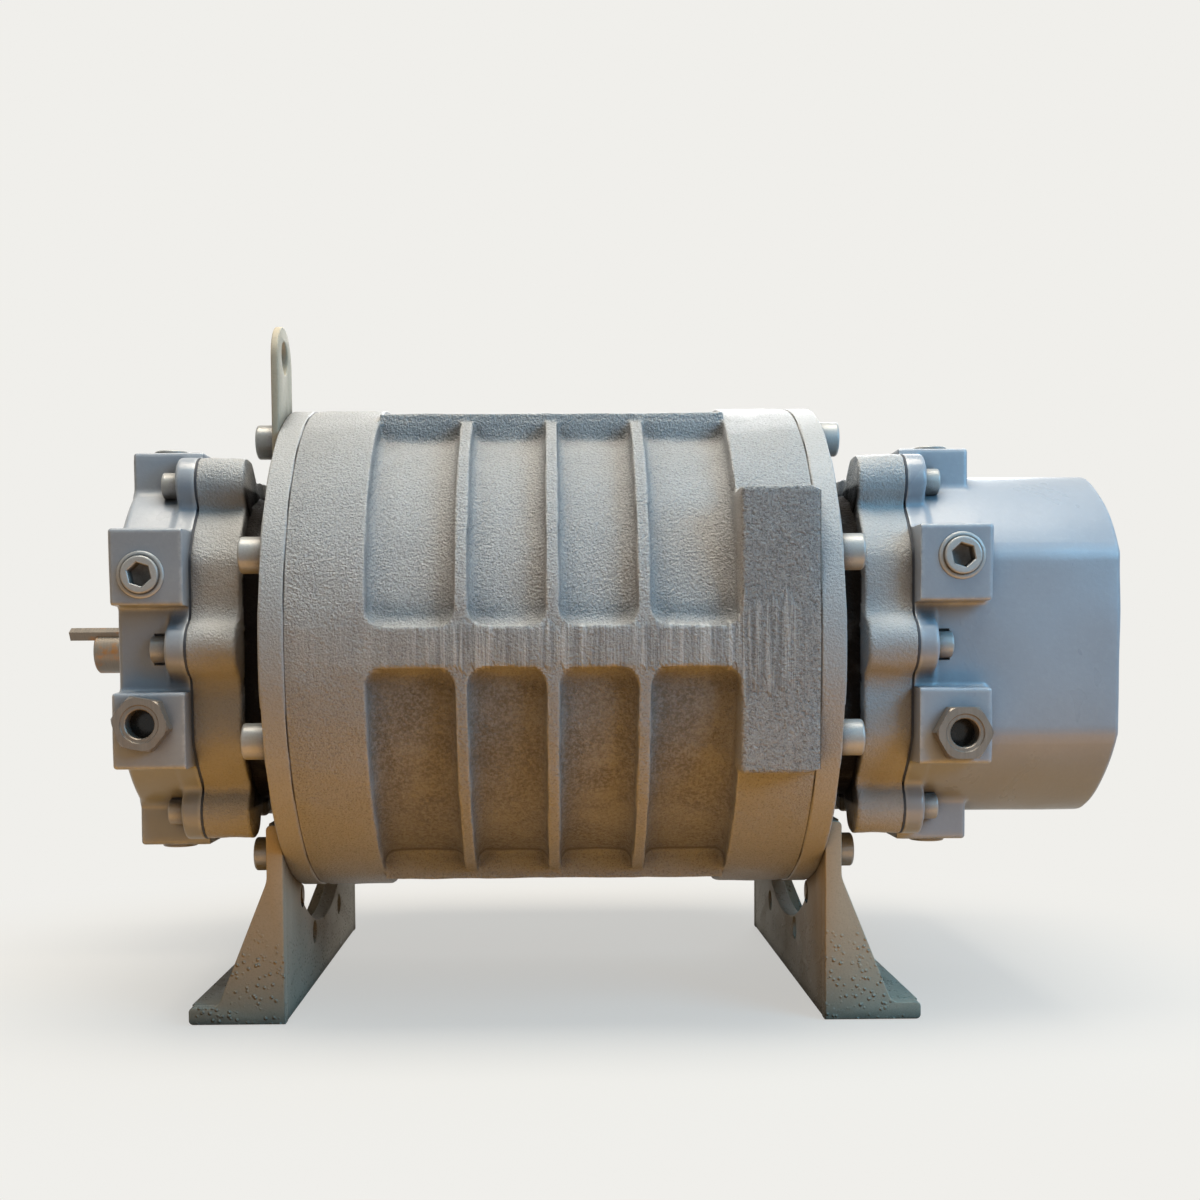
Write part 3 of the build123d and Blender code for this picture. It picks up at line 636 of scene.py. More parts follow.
def carve(solid: bpy.types.Mesh, cutters: Sequence[Mesh]) -> bpy.types.Mesh:
    """Cuts shapes out of a closed mesh, one after the other.

    Args:
        solid: The mesh to cut.
        cutters: Closed meshes to take away.

    Returns:
        The cut mesh.
    """
    for cutter in cutters:
        block = bpy.data.objects.new("block", solid)
        knife = bpy.data.objects.new("knife", cutter.to_data("knife"))
        for item in (block, knife):
            bpy.context.scene.collection.objects.link(item)
        cut = block.modifiers.new("cut", "BOOLEAN")
        cut.operation, cut.solver, cut.object = "DIFFERENCE", "EXACT", knife
        bpy.context.view_layer.update()
        result = bpy.data.meshes.new_from_object(block.evaluated_get(bpy.context.evaluated_depsgraph_get()))
        for item in (block, knife):
            bpy.data.objects.remove(item)
        solid = result
    work = bmesh.new()
    work.from_mesh(solid)
    bmesh.ops.remove_doubles(work, verts=work.verts, dist=4e-6)
    bmesh.ops.holes_fill(work, edges=[edge for edge in work.edges if edge.is_boundary], sides=12)
    bmesh.ops.recalc_face_normals(work, faces=work.faces)
    work.to_mesh(solid)
    work.free()
    return smoothed(solid)


@dataclass(frozen=True)
class Casing:
    """Ribbed rotor casing with port blocks and the cast side pad."""

    pocket_radius: float = 130.0
    pocket_reach: float = 95.0
    rib_spacing: float = 46.5
    rib_width: float = 6.5
    belt: float = 10.5
    port_half_width: float = 116.0
    port_face: float = 130.0
    port_opening: Tuple[float, float] = (124.0, 84.0)
    stud_spacing: Tuple[float, float] = (150.0, 200.0)
    stud_radius: float = 6.0
    stud_depth: float = 22.0
    pad: Tuple[float, float, float, float] = (95.0, 135.5, -65.0, 80.0)
    floor_fillet: float = 6.5
    rim_round: float = 1.0

    def columns(self) -> List[Tuple[float, float]]:
        """X limits of the pockets between the ribs."""
        edges = [-self.pocket_reach]
        for k in (-1, 0, 1):
            edges += [k * self.rib_spacing - self.rib_width / 2, k * self.rib_spacing + self.rib_width / 2]
        edges.append(self.pocket_reach)
        return list(zip(edges[0::2], edges[1::2]))

    def shape(self, x: Array, y: Array, z: Array) -> Array:
        """Distance to the outer form.

        The section is two rounds joined by flats, with the port block through it. Pockets with a
        concentric floor are taken out, their floor met by a wide fillet, and the port faces are
        cut flat. The pad is added.
        """
        reach = LAYOUT.case_reach(y, z)
        form = both(reach - LAYOUT.case_radius, np.abs(x) - LAYOUT.chamber_end, 0.7)
        ports = box_distance((x, y, z), (0.0, 0.0, 0.0), (self.pocket_reach, self.port_half_width, self.port_face),
                             1.2)
        form = either(form, ports, 1.5)
        side = np.minimum.reduce([slab(x, a, b) for a, b in self.columns()])
        wall = both(side, self.belt - np.abs(z), 10.0)
        pocket = both(wall, self.pocket_radius - reach, self.floor_fillet)
        pocket = both(pocket, self.port_half_width - np.abs(y), 2.0)
        form = without(form, pocket, self.rim_round)
        slice_off = both(np.abs(x) - self.pocket_reach, self.port_face - np.abs(z), 3.0)
        form = without(form, slice_off, 1.5)
        x0, x1, z0, z1 = self.pad
        front = LAYOUT.case_half_spacing + LAYOUT.case_radius
        pad = box_distance((x, y, z), ((x0 + x1) / 2, -front + 35.0, (z0 + z1) / 2),
                           ((x1 - x0) / 2, 35.0, (z1 - z0) / 2), 2.0)
        form = either(form, pad, 2.0)
        lumps = casting_waves(x, y, z, 34.0, 0.45) + casting_waves(z, x, y, 13.0, 0.18)
        form = form + lumps * np.clip((LAYOUT.chamber_end - np.abs(x)) / 4.0, 0, 1)
        return np.maximum(form, np.abs(y) - front)

    def outer(self) -> bpy.types.Mesh:
        """Outer surface, closed over the ends."""
        keys = [edge for column in self.columns() for edge in column]
        fans = (4.3, 8.0, 24.9, 29.7, 34.8, 61.0, 63.3, 64.15)
        rim = Rim(LAYOUT.case_half_spacing, 0.0, fan_keys=fans, fan_step=2.2, step=8.0,
                  near_fan=(0.05, 0.35, 0.8, 1.4, 2.2))
        skin = Skin(rim, self.shape, -LAYOUT.chamber_end, LAYOUT.chamber_end, tuple(keys), step=5.5)
        return skin.mesh().to_data("casing_form")

    def chamber(self) -> Mesh:
        """Space swept by both rotors: the outline of two circles, seen from its middle."""
        angle = full_turn(160)
        away = np.stack([np.cos(angle), np.sin(angle)], -1)
        along = LAYOUT.rotor_y * np.abs(away[:, 0])
        reach = along + np.sqrt(along ** 2 - LAYOUT.rotor_y ** 2 + LAYOUT.chamber_radius ** 2)
        return prism(away * reach[:, None], -LAYOUT.chamber_end - 5, LAYOUT.chamber_end + 5)

    def port_cutters(self) -> Mesh:
        """Both port openings with round corners, and their tapped holes."""
        half_x, half_y = self.port_opening[0] / 2, self.port_opening[1] / 2
        outline = softened([(-half_x, -half_y), (half_x, -half_y), (half_x, half_y), (-half_x, half_y)], [3.0] * 4)
        parts = []
        for up in (-1, 1):
            deep, high = up * 30.0, up * (self.port_face + 12.0)
            parts.append(upright(outline, deep, high))
            for x in (-1, 1):
                for y in (-1, 1):
                    hole = circle((x * self.stud_spacing[0] / 2, y * self.stud_spacing[1] / 2), self.stud_radius, 32)
                    parts.append(upright(hole, up * (self.port_face - self.stud_depth), high))
        return Mesh.join(parts)

    def build(self, shop: Workshop, paint: bpy.types.Material) -> None:
        """Makes the casing.

        Args:
            shop: Where pieces go.
            paint: Rough cast paint.
        """
        data = carve(self.outer(), [self.chamber(), self.port_cutters()])
        shop.show(data, "rotor_casing", Body.HOUSING, paint)


def upright(outline: Array, low: float, high: float) -> Mesh:
    """Solid between two heights over a closed outline in X and Y."""
    flat = np.concatenate([outline, np.zeros((len(outline), 1))], 1)
    middle = np.tile(flat.mean(0), (len(flat), 1))
    rise = np.array([0.0, 0.0, 1.0])
    rows = [middle + rise * low, flat + rise * low, flat + rise * high, middle + rise * high]
    return Mesh.grid(np.stack(rows), close_v=True)


@dataclass(frozen=True)
class Headplate:
    """Round end plate, waist and bearing housing of one end."""

    end: End
    neck_half_width: float = 150.0
    neck_half_height: float = 84.0
    neck_corner: float = 50.0
    rim_round: float = 1.1
    edge_round: float = 2.0
    bore_steps: Tuple[Tuple[float, float, float], ...] = (
        (135.0, 142.0, 27.8), (142.0, 152.0, 40.0), (152.0, 165.0, 42.0), (165.0, 191.0, 50.0))

    def disc(self, x: Array, y: Array, z: Array) -> Array:
        """Distance to the round plate: a slab of the casing's section with a rounded rim."""
        rim = LAYOUT.case_reach(y, z) - LAYOUT.case_radius
        plate_form = both(rim, slab(x, LAYOUT.chamber_end, LAYOUT.plate_face), self.rim_round)
        return plate_form + casting_waves(x * 0, y, z, 47.0, 0.3)

    def housing(self, x: Array, y: Array, z: Array) -> Array:
        """Distance to waist and bearing housing, joined with a fillet and uneven as cast."""
        waist = both(round_rectangle(y, z, self.neck_half_width, self.neck_half_height, self.neck_corner),
                     slab(x, LAYOUT.plate_face - 2.0, LAYOUT.joint_face - 6.0))
        block = both(both(LAYOUT.lobed(y, z), LAYOUT.housing_start - x, self.edge_round), x - LAYOUT.joint_face, 0.4)
        lumps = casting_waves(x, y, z, 30.0, 0.7) + casting_waves(y, z, x, 11.0, 0.3)
        return either(waist, block, 1.5) + lumps * np.clip((LAYOUT.joint_face - x) / 5.0, 0, 1)

    def bores(self) -> Mesh:
        """Stepped bores for shaft, seal and bearing of both rotors."""
        first = self.bore_steps[0][0] - 2.0
        profile = [(first, 0.0), (first, self.bore_steps[0][2])]
        for start, stop, radius in self.bore_steps:
            profile += [(max(start, profile[-1][0]), radius), (stop, radius)]
        profile.append((self.bore_steps[-1][1], 0.0))
        tool = turned(profile, 72)
        return Mesh.join([tool.moved(np.eye(3), (0, y, 0)) for y in (-LAYOUT.rotor_y, LAYOUT.rotor_y)])

    def build(self, shop: Workshop, paint: bpy.types.Material) -> None:
        """Makes the headplate of this end.

        Args:
            shop: Where pieces go.
            paint: Rough cast paint.
        """
        name = f"{self.end.prefix}_end_headplate"
        plate_rim = Rim(LAYOUT.case_half_spacing, 0.0, fan_step=2.5, step=12.0)
        faces = (LAYOUT.chamber_end, LAYOUT.plate_face)
        disc = Skin(plate_rim, self.disc, *faces, faces, step=4.0)
        block_rim = Rim(*BEARING_CORE, side_keys=(13.0,), fan_keys=(47.0, 60.3, 73.7), top_keys=(13.0,), step=5.0,
                        fan_step=3.0)
        block = Skin(block_rim, self.housing, LAYOUT.plate_face - 1.0, LAYOUT.joint_face,
                     (LAYOUT.housing_start, LAYOUT.joint_face), step=4.0)
        parts = []
        for skin in (disc, block):
            parts.append(set_at(carve(skin.mesh().to_data("headplate_form"), [self.bores()]), self.end))
        shop.show(joined(parts, name), name, Body.HOUSING, paint)


def set_at(data: bpy.types.Mesh, end: End) -> bpy.types.Mesh:
    """The mesh itself for the gear end, mirrored for the drive end, its faces still outwards."""
    if end == End.DRIVE:
        work = bmesh.new()
        work.from_mesh(data)
        bmesh.ops.scale(work, vec=(-1.0, 1.0, 1.0), verts=work.verts)
        bmesh.ops.reverse_faces(work, faces=work.faces)
        work.to_mesh(data)
        work.free()
    return data


def joined(parts: Sequence[bpy.types.Mesh], name: str) -> bpy.types.Mesh:
    """One mesh of several finished ones."""
    work = bmesh.new()
    for part in parts:
        work.from_mesh(part)
    data = bpy.data.meshes.new(name)
    work.to_mesh(data)
    work.free()
    return data


@dataclass(frozen=True)
class Cover:
    """End cover of one end: flange with lugs, domed wall and bosses."""

    end: End
    boss_z: float = 42.5
    boss_half: float = 20.0
    boss_half_depth: float = 16.5
    wall_round: float = 3.0
    boss_round: float = 1.8
    head_room: float = 7.0
    head_depth: float = 8.0
    flange_wall: float = 11.0
    end_wall: float = 8.0
    plug_z: float = 46.0
    plug_radius: float = 10.3

    @property
    def stop(self) -> float:
        """Outer face of the cover along X."""
        return LAYOUT.gear_end if self.end == End.GEAR else LAYOUT.drive_end

    def shape(self, x: Array, y: Array, z: Array) -> Array:
        """Distance to the outer form.

        Wall and lobed flange are joined with a fillet, the bosses are added to the wall, and a
        pocket round each screw head is taken out.
        """
        a, b = np.abs(y), np.abs(z)
        wall = both(LAYOUT.shell(y, z), x - self.stop, self.wall_round)
        flange = both(LAYOUT.lobed(y, z), x - LAYOUT.flange_face, 1.8)
        form = either(wall, flange, 2.5)
        middle, half = LAYOUT.cover_start, LAYOUT.boss_end - LAYOUT.cover_start
        depth = self.boss_half_depth
        side = box_distance((x, a, b), (middle, LAYOUT.side_boss_face - depth, self.boss_z),
                            (half, depth, self.boss_half), self.boss_round)
        top = box_distance((x, a, b), (middle, LAYOUT.top_boss_y, LAYOUT.top_boss_face - depth),
                           (half, self.boss_half, depth), self.boss_round)
        form = either(form, np.minimum(side, top), 2.6)
        for lug_y, lug_z in LAYOUT.cover_lugs:
            pocket = both(np.hypot(a - lug_y, b - lug_z) - self.head_room, LAYOUT.flange_face - x, 1.5)
            pocket = both(pocket, x - LAYOUT.flange_face - self.head_depth, 0.6)
            form = without(form, pocket, 0.6)
        form = both(form, LAYOUT.cover_start - x, 0.4)
        return form + casting_waves(x, y, z, 52.0, 0.35) * np.clip((x - LAYOUT.cover_start) / 4.0, 0, 1)

    def cavity(self) -> Mesh:
        """Oil space inside the wall, open towards the headplate."""
        half_y, half_z = LAYOUT.cover_half_width - self.flange_wall, LAYOUT.cover_half_height - self.flange_wall
        radius = LAYOUT.cover_radius - self.flange_wall
        y, z = np.cos(full_turn(120)), np.sin(full_turn(120))
        outline = np.column_stack([np.sign(y) * LAYOUT.rotor_y + radius * y, radius * z])
        outline = np.clip(outline, [-half_y, -half_z], [half_y, half_z])
        return prism(outline, LAYOUT.cover_start - 3.0, self.stop - self.end_wall)

    def shaft_boss(self) -> Mesh:
        """Turned boss round the drive shaft, with the bore for its seal."""
        outside, seat, bore, end = 34.0, 26.0, 18.0, LAYOUT.drive_end + 16.0
        root, ledge = LAYOUT.drive_end - 9.0, end - 10.0
        profile = [(root, bore), (root, outside - 4.0), (LAYOUT.drive_end - 1.0, outside)]
        profile += rounded((end, outside), (-1, 0), (0, -1), 1.5)
        profile += [(end, seat + 0.6), (end - 0.6, seat), (ledge, seat), (ledge, bore), (root, bore)]
        return turned(profile, 96).moved(np.eye(3), (0, LAYOUT.rotor_y, 0))

    def build(self, shop: Workshop, paint: bpy.types.Material) -> None:
        """Makes the cover of this end.

        Args:
            shop: Where pieces go.
            paint: Smooth paint.
        """
        name = f"{self.end.prefix}_end_cover"
        rim = Rim(*BEARING_CORE, side_keys=(13.0, 22.5), fan_keys=(12.0, 21.4, 28.4, 47.0, 64.5, 70.5),
                  top_keys=(13.0, 83.0), step=5.5, fan_step=3.0)
        keys = (LAYOUT.cover_start, LAYOUT.flange_face, LAYOUT.flange_face + self.head_depth, LAYOUT.boss_end)
        skin = Skin(rim, self.shape, LAYOUT.cover_start, self.stop, keys, step=6.0, round_stop=self.wall_round)
        cutters = [self.cavity(), self.plug_holes()]
        if self.end == End.DRIVE:
            opening = turned([(200.0, 0.0), (200.0, 30.0), (250.0, 30.0), (250.0, 0.0)], 72)
            cutters.append(opening.moved(np.eye(3), (0, LAYOUT.rotor_y, 0)))
        data = carve(skin.mesh().to_data("cover_form"), cutters)
        if self.end == End.DRIVE:
            data = joined([data, self.shaft_boss().to_data("boss_form")], name)
        shop.show(set_at(data, self.end), name, Body.HOUSING, paint)

    def plug_holes(self) -> Mesh:
        """Threaded holes of the eight bosses, as plain bores."""
        z = self.plug_z
        bore = turned([(-34.0, 0.0), (-34.0, self.plug_radius), (6.0, self.plug_radius), (6.0, 0.0)], 40)
        parts = []
        for side in (-1, 1):
            for height in (-z, z):
                parts.append(bore.moved(facing((0, side, 0)), (LAYOUT.plug_x, side * LAYOUT.side_boss_face, height)))
            for y in (-LAYOUT.top_boss_y, LAYOUT.top_boss_y):
                parts.append(bore.moved(facing((0, 0, side)), (LAYOUT.plug_x, y, side * LAYOUT.top_boss_face)))
        return Mesh.join(parts)


def facing(way: Sequence[float], roll: float = 0.0) -> Array:
    """Turning matrix that lays the X axis along a direction.

    Args:
        way: The direction.
        roll: Turn about it, in degrees.

    Returns:
        The matrix.
    """
    ahead = np.asarray(way, float)
    ahead = ahead / np.linalg.norm(ahead)
    aside = np.cross((0.0, 0.0, 1.0) if abs(ahead[2]) < 0.9 else (0.0, 1.0, 0.0), ahead)
    aside /= np.linalg.norm(aside)
    up = np.cross(ahead, aside)
    a = math.radians(roll)
    return np.column_stack([ahead, aside * math.cos(a) + up * math.sin(a), up * math.cos(a) - aside * math.sin(a)])


@dataclass(frozen=True)
class SocketHead:
    """Screw or plug that is turned, with a hexagon socket in its outer face.

    It lies along X, its seat at zero and its head towards +X.
    """

    head_radius: float
    head_height: float
    shank_radius: float
    shank_length: float
    socket_width: float
    socket_depth: float
    rim: float = 0.9
    sides: int = 48

    def mesh(self) -> Mesh:
        """The closed surface.

        Rows run from the tip along the shank, over the head and into the socket. A row's points
        lie on a circle, or on a hexagon where its share of hexagon is one.
        """
        tip, top, floor = -self.shank_length, self.head_height, self.head_height - self.socket_depth
        shank, head, across = self.shank_radius, self.head_radius, self.socket_width / 2
        rows = [(tip, 0.0, 0.0), (tip, shank - 1.0, 0.0), (tip + 1.0, shank, 0.0)]
        if head > shank + 0.01:
            rows += [(0.0, shank, 0.0), (0.0, head - 0.3, 0.0), (0.3, head, 0.0)]
        rows += [(top - self.rim - 0.4, head, 0.0)]
        rows += [(a, b, 0.0) for a, b in rounded((top, head), (-1, 0), (0, -1), self.rim)]
        rows += [(top, head - self.rim - 0.4, 0.0), (top, across + 0.9, 0.35), (top, across + 0.45, 1.0),
                 (top - 0.5, across, 1.0), (floor + 0.3, across, 1.0), (floor, across - 0.4, 1.0),
                 (floor, across * 0.6, 0.5), (floor - 0.8, 0.0, 0.0)]
        x, radius, share = np.array(rows).T
        angle = full_turn(self.sides)
        return spun(x, radius[:, None] * (1 + share[:, None] * (hexagon_reach(angle)[None] - 1)), angle)


HEADPLATE_SCREW = SocketHead(9.525, 12.7, 6.35, 25.0, 9.5, 7.0, rim=1.3)
COVER_SCREW = SocketHead(7.15, 9.5, 4.75, 20.0, 7.9, 5.2, rim=1.0)


@dataclass(frozen=True)
class Fasteners:
    """All socket screws of one end."""

    end: End
    foot_thickness: float = 9.0
    lug_thickness: float = 4.0

    def groups(self) -> Dict[str, Mesh]:
        """Screws of the headplate and of the cover, each group one mesh."""
        big, small = HEADPLATE_SCREW.mesh(), COVER_SCREW.mesh()
        rng = np.random.default_rng(7 + self.end)
        plates, covers = [], []
        for y, z in LAYOUT.plate_screws():
            seat = LAYOUT.plate_face
            if abs(y) > LAYOUT.case_half_spacing and z < -100:
                seat += self.foot_thickness
            if self.end == End.DRIVE and y < -80 and z > 100:
                seat += self.lug_thickness
            plates.append(big.moved(facing((1, 0, 0), rng.uniform(0, 60)), (seat, y, z)))
        for y, z in LAYOUT.cover_screws():
            covers.append(small.moved(facing((1, 0, 0), rng.uniform(0, 60)), (LAYOUT.flange_face, y, z)))
        groups = {"headplate_screws": plates, "cover_screws": covers}
        return {name: Mesh.join(screws).at_end(self.end) for name, screws in groups.items()}

    def build(self, shop: Workshop, paint: bpy.types.Material) -> None:
        """Makes the screws of this end.

        Args:
            shop: Where pieces go.
            paint: Painted steel.
        """
        for name, mesh in self.groups().items():
            shop.show(mesh, f"{self.end.prefix}_{name}", Body.HOUSING, paint)


@dataclass(frozen=True)
class OilFittings:
    """Plugs and sight gauge in the bosses of one cover."""

    end: End
    level_z: float = 46.0
    plug_radius: float = 10.3
    plug_length: float = 14.0
    gauge_width: float = 26.6
    gauge_stand: float = 8.0
    window: float = 7.5
    stand: float = 3.0

    def plug(self) -> Mesh:
        """Pipe plug with a hexagon socket, standing out of its boss in a bead of old paint."""
        radius = self.plug_radius - 0.5
        body = SocketHead(radius, self.stand, radius, self.plug_length, 11.2, 8.5, rim=1.0, sides=60).mesh()
        bead = turned([(-1.0, 9.0), (-1.0, 12.4), (0.35, 12.3), (0.9, 11.7), (1.1, 10.9), (0.9, 9.9), (0.5, 9.0),
                       (-1.0, 9.0)], 60)
        return Mesh.join([body, bead])

    def gauge(self) -> Mesh:
        """Hexagon body with a chamfered nose and a stepped window.

        Rows run from the thread end outwards, over the hexagon and back down the window. Where the
        hexagon is chamfered, its reach is the smaller of the hexagon's and of a cone's.
        """
        half, stand, tip, thread = self.gauge_width / 2, self.gauge_stand, -self.plug_length, self.plug_radius
        angle = full_turn(96)
        hexagon = hexagon_reach(angle, half)
        corner, cone, window = half * 1.1547, half + 0.6, self.window
        rows = [(tip, 0.0), (tip, thread - 1.0), (tip + 1, thread), (0.0, thread), (0.0, hexagon)]
        rows += [(stand - 1.9 * (1 - step), np.minimum(hexagon, corner - step * (corner - cone)))
                 for step in np.linspace(0, 1, 7)]
        rows += [(stand, window + 2.6), (stand - 0.7, window + 2.1), (stand - 0.7, window + 0.5),
                 (stand - 1.2, window), (-6.0, window), (-6.0, window - 2.0), (tip + 2.0, window - 2.0),
                 (tip + 2.0, 0.0)]
        x = np.array([row[0] for row in rows])
        return spun(x, np.stack([row[1] + 0.0 * angle for row in rows]), angle)

    def lens(self) -> Mesh:
        """Glass of the gauge, a little domed."""
        radius = np.linspace(0, 1, 8) * (self.window - 0.05)
        front = [(-2.0 - 0.9 * (r / self.window) ** 2 + 0.9, r) for r in radius]
        return turned([(-6.0, 0.0), (-6.0, self.window - 0.05)] + front[::-1], 48)

    def seat(self, mesh: Mesh, side: int, z: float, roll: float = 0.0) -> Mesh:
        """Moves a fitting to a front (-1) or rear (+1) boss."""
        return mesh.moved(facing((0, side, 0), roll), (self.end * LAYOUT.plug_x, side * LAYOUT.side_boss_face, z))

    def build(self, shop: Workshop, paint: bpy.types.Material, metal: bpy.types.Material,
              glass: bpy.types.Material) -> None:
        """Makes the plugs and the gauge.

        Args:
            shop: Where pieces go.
            paint: Painted plug.
            metal: Bare metal of the gauge.
            glass: Dark glass.
        """
        prefix, z = self.end.prefix, self.level_z
        side = [self.seat(self.plug(), s, h, roll) for s, h, roll in ((-1, z, 12.0), (1, z, 40.0), (1, -z, 5.0))]
        shop.show(Mesh.join(side), f"{prefix}_side_plugs", Body.HOUSING, paint)
        for up, name in ((1, "fill"), (-1, "drain")):
            turn = facing((0, 0, up), 20.0 * up)
            plugs = [self.plug().moved(turn, (self.end * LAYOUT.plug_x, y, up * LAYOUT.top_boss_face))
                     for y in (-LAYOUT.top_boss_y, LAYOUT.top_boss_y)]
            shop.show(Mesh.join(plugs), f"{prefix}_{name}_plugs", Body.HOUSING, paint)
        gauge = self.seat(self.gauge(), -1, -z, 30.0 if self.end == End.GEAR else 20.0)
        shop.show(gauge, f"{prefix}_sight_gauge", Body.HOUSING, metal)
        shop.show(self.seat(self.lens(), -1, -z), f"{prefix}_gauge_lens", Body.HOUSING, glass)


def laid(mesh: Mesh, columns: Sequence[int], shift: Sequence[float]) -> Mesh:
    """Plate turned from its own plane into the machine by reordering its axes.

    Args:
        mesh: The plate, its thickness along its third axis.
        columns: Which of the plate's axes becomes X, Y and Z.
        shift: Where its origin goes.

    Returns:
        The moved plate.
    """
    return Mesh(mesh.points[:, list(columns)] + np.asarray(shift, float), mesh.faces)


@dataclass(frozen=True)
class Foot:
    """Angle foot: upright web with a saddle between two end walls, and a floor flange."""

    end: End
    thickness: float = 9.0
    flange_thickness: float = 9.5
    half_width: float = 137.0
    reach: float = 53.0
    top: float = -96.0
    knee: float = -127.0
    gusset_reach: float = 37.0
    ear_inner: float = 79.2
    saddle_radius: float = 141.0
    saddle_centre: float = -30.0
    bolt_x: float = 187.0
    bolt_y: float = 83.0
    bolt_radius: float = 6.5
    spare_radius: float = 7.0
    spare_holes: Tuple[Tuple[float, float], ...] = ((-78.0, 61.0), (-38.0, 32.0), (59.0, 32.0), (78.0, 61.0))

    def web(self) -> Mesh:
        """Upright plate between the end walls: its top edge follows the saddle arc between two ears."""
        floor, side = -AXIS_HEIGHT + 0.3, self.half_width - self.thickness
        dip = self.saddle_centre - math.sqrt(self.saddle_radius ** 2 - self.ear_inner ** 2)
        start = math.degrees(math.atan2(dip - self.saddle_centre, self.ear_inner))
        arc = circle((0.0, self.saddle_centre), self.saddle_radius, 40, start - 1.5, -180.0 - start + 1.5)
        ear = softened([(-self.ear_inner, dip), (-self.ear_inner, self.top), (-side, self.top), (-side, floor),
                        (side, floor), (side, self.top), (self.ear_inner, self.top), (self.ear_inner, dip)],
                       [3.0, 5.0, 0.0, 0.0, 0.0, 0.0, 5.0, 3.0])
        outlines = [np.concatenate([arc, ear])]
        outlines += [circle((y, h - AXIS_HEIGHT), self.spare_radius, 32) for y, h in self.spare_holes]
        outlines += [circle(place, LAYOUT.plate_screw_radius, 28) for place in LAYOUT.plate_screws()
                     if abs(place[0]) > LAYOUT.case_half_spacing and place[1] < -100]
        return laid(plate(outlines, self.thickness, 0.4), (2, 0, 1), (LAYOUT.plate_face + self.thickness / 2, 0, 0))

    def flange(self) -> Mesh:
        """Floor plate between the end walls, with its two bolt holes."""
        x0, x1 = LAYOUT.plate_face + self.thickness, LAYOUT.plate_face + self.reach
        y = self.half_width - self.thickness
        outline = np.array([(x0, -y), (x1, -y), (x1, y), (x0, y)])
        holes = [circle((self.bolt_x, s * self.bolt_y), self.bolt_radius, 36) for s in (-1, 1)]
        flat = plate([outline] + holes, self.flange_thickness, 0.4)
        return laid(flat, (0, 1, 2), (0, 0, -AXIS_HEIGHT + self.flange_thickness / 2))

    def ends(self) -> List[Mesh]:
        """End walls: upright at the top, sloping from the knee and running out along the flange."""
        x0, floor, step = LAYOUT.plate_face, -AXIS_HEIGHT, -AXIS_HEIGHT + self.flange_thickness
        outline = softened([(x0, self.top), (x0 + self.thickness, self.top), (x0 + self.thickness, self.knee),
                            (x0 + self.gusset_reach, step), (x0 + self.reach, step), (x0 + self.reach, floor),
                            (x0, floor)], [2.0, 3.0, 16.0, 5.0, 2.5, 2.5, 0.0])
        wall = plate([outline[::-1]], self.thickness, 0.7)
        return [laid(wall, (0, 2, 1), (0, s * (self.half_width - self.thickness / 2), 0)) for s in (-1, 1)]

    def build(self, shop: Workshop, paint: bpy.types.Material) -> None:
        """Makes the foot of this end.

        Args:
            shop: Where pieces go.
            paint: Dusty paint.
        """
        mesh = Mesh.join([self.web(), self.flange(), *self.ends()]).at_end(self.end)
        shop.show(mesh, f"{self.end.prefix}_end_foot", Body.HOUSING, paint)


@dataclass(frozen=True)
class LiftingStrap:
    """Upright strap with an eye, clamped under a headplate screw."""

    width: float = 41.0
    thickness: float = 4.0
    top: float = 179.0
    eye: float = 162.0
    eye_radius: float = 9.0
    tail: float = 100.0
    screw: Tuple[float, float] = (-101.2, 116.41)

    def build(self, shop: Workshop, paint: bpy.types.Material) -> None:
        """Makes the strap.

        Args:
            shop: Where pieces go.
            paint: Dusty paint.
        """
        y, half = self.screw[0] - 5.0, self.width / 2
        arch = circle((y, self.top - half), half, 30, 0.0, 180.0)
        base = np.array([(y - half, self.tail), (y + half, self.tail)])
        outlines = [np.concatenate([arch, base]), circle((y, self.eye), self.eye_radius, 40),
                    circle(self.screw, LAYOUT.plate_screw_radius, 28)]
        flat = laid(plate(outlines, self.thickness, 0.7), (2, 0, 1), (LAYOUT.plate_face + self.thickness / 2, 0, 0))
        shop.show(flat.at_end(End.DRIVE), "lifting_lug", Body.HOUSING, paint)


# Finishes. Positions in a material are millimetres too, on the same axes as the shapes.


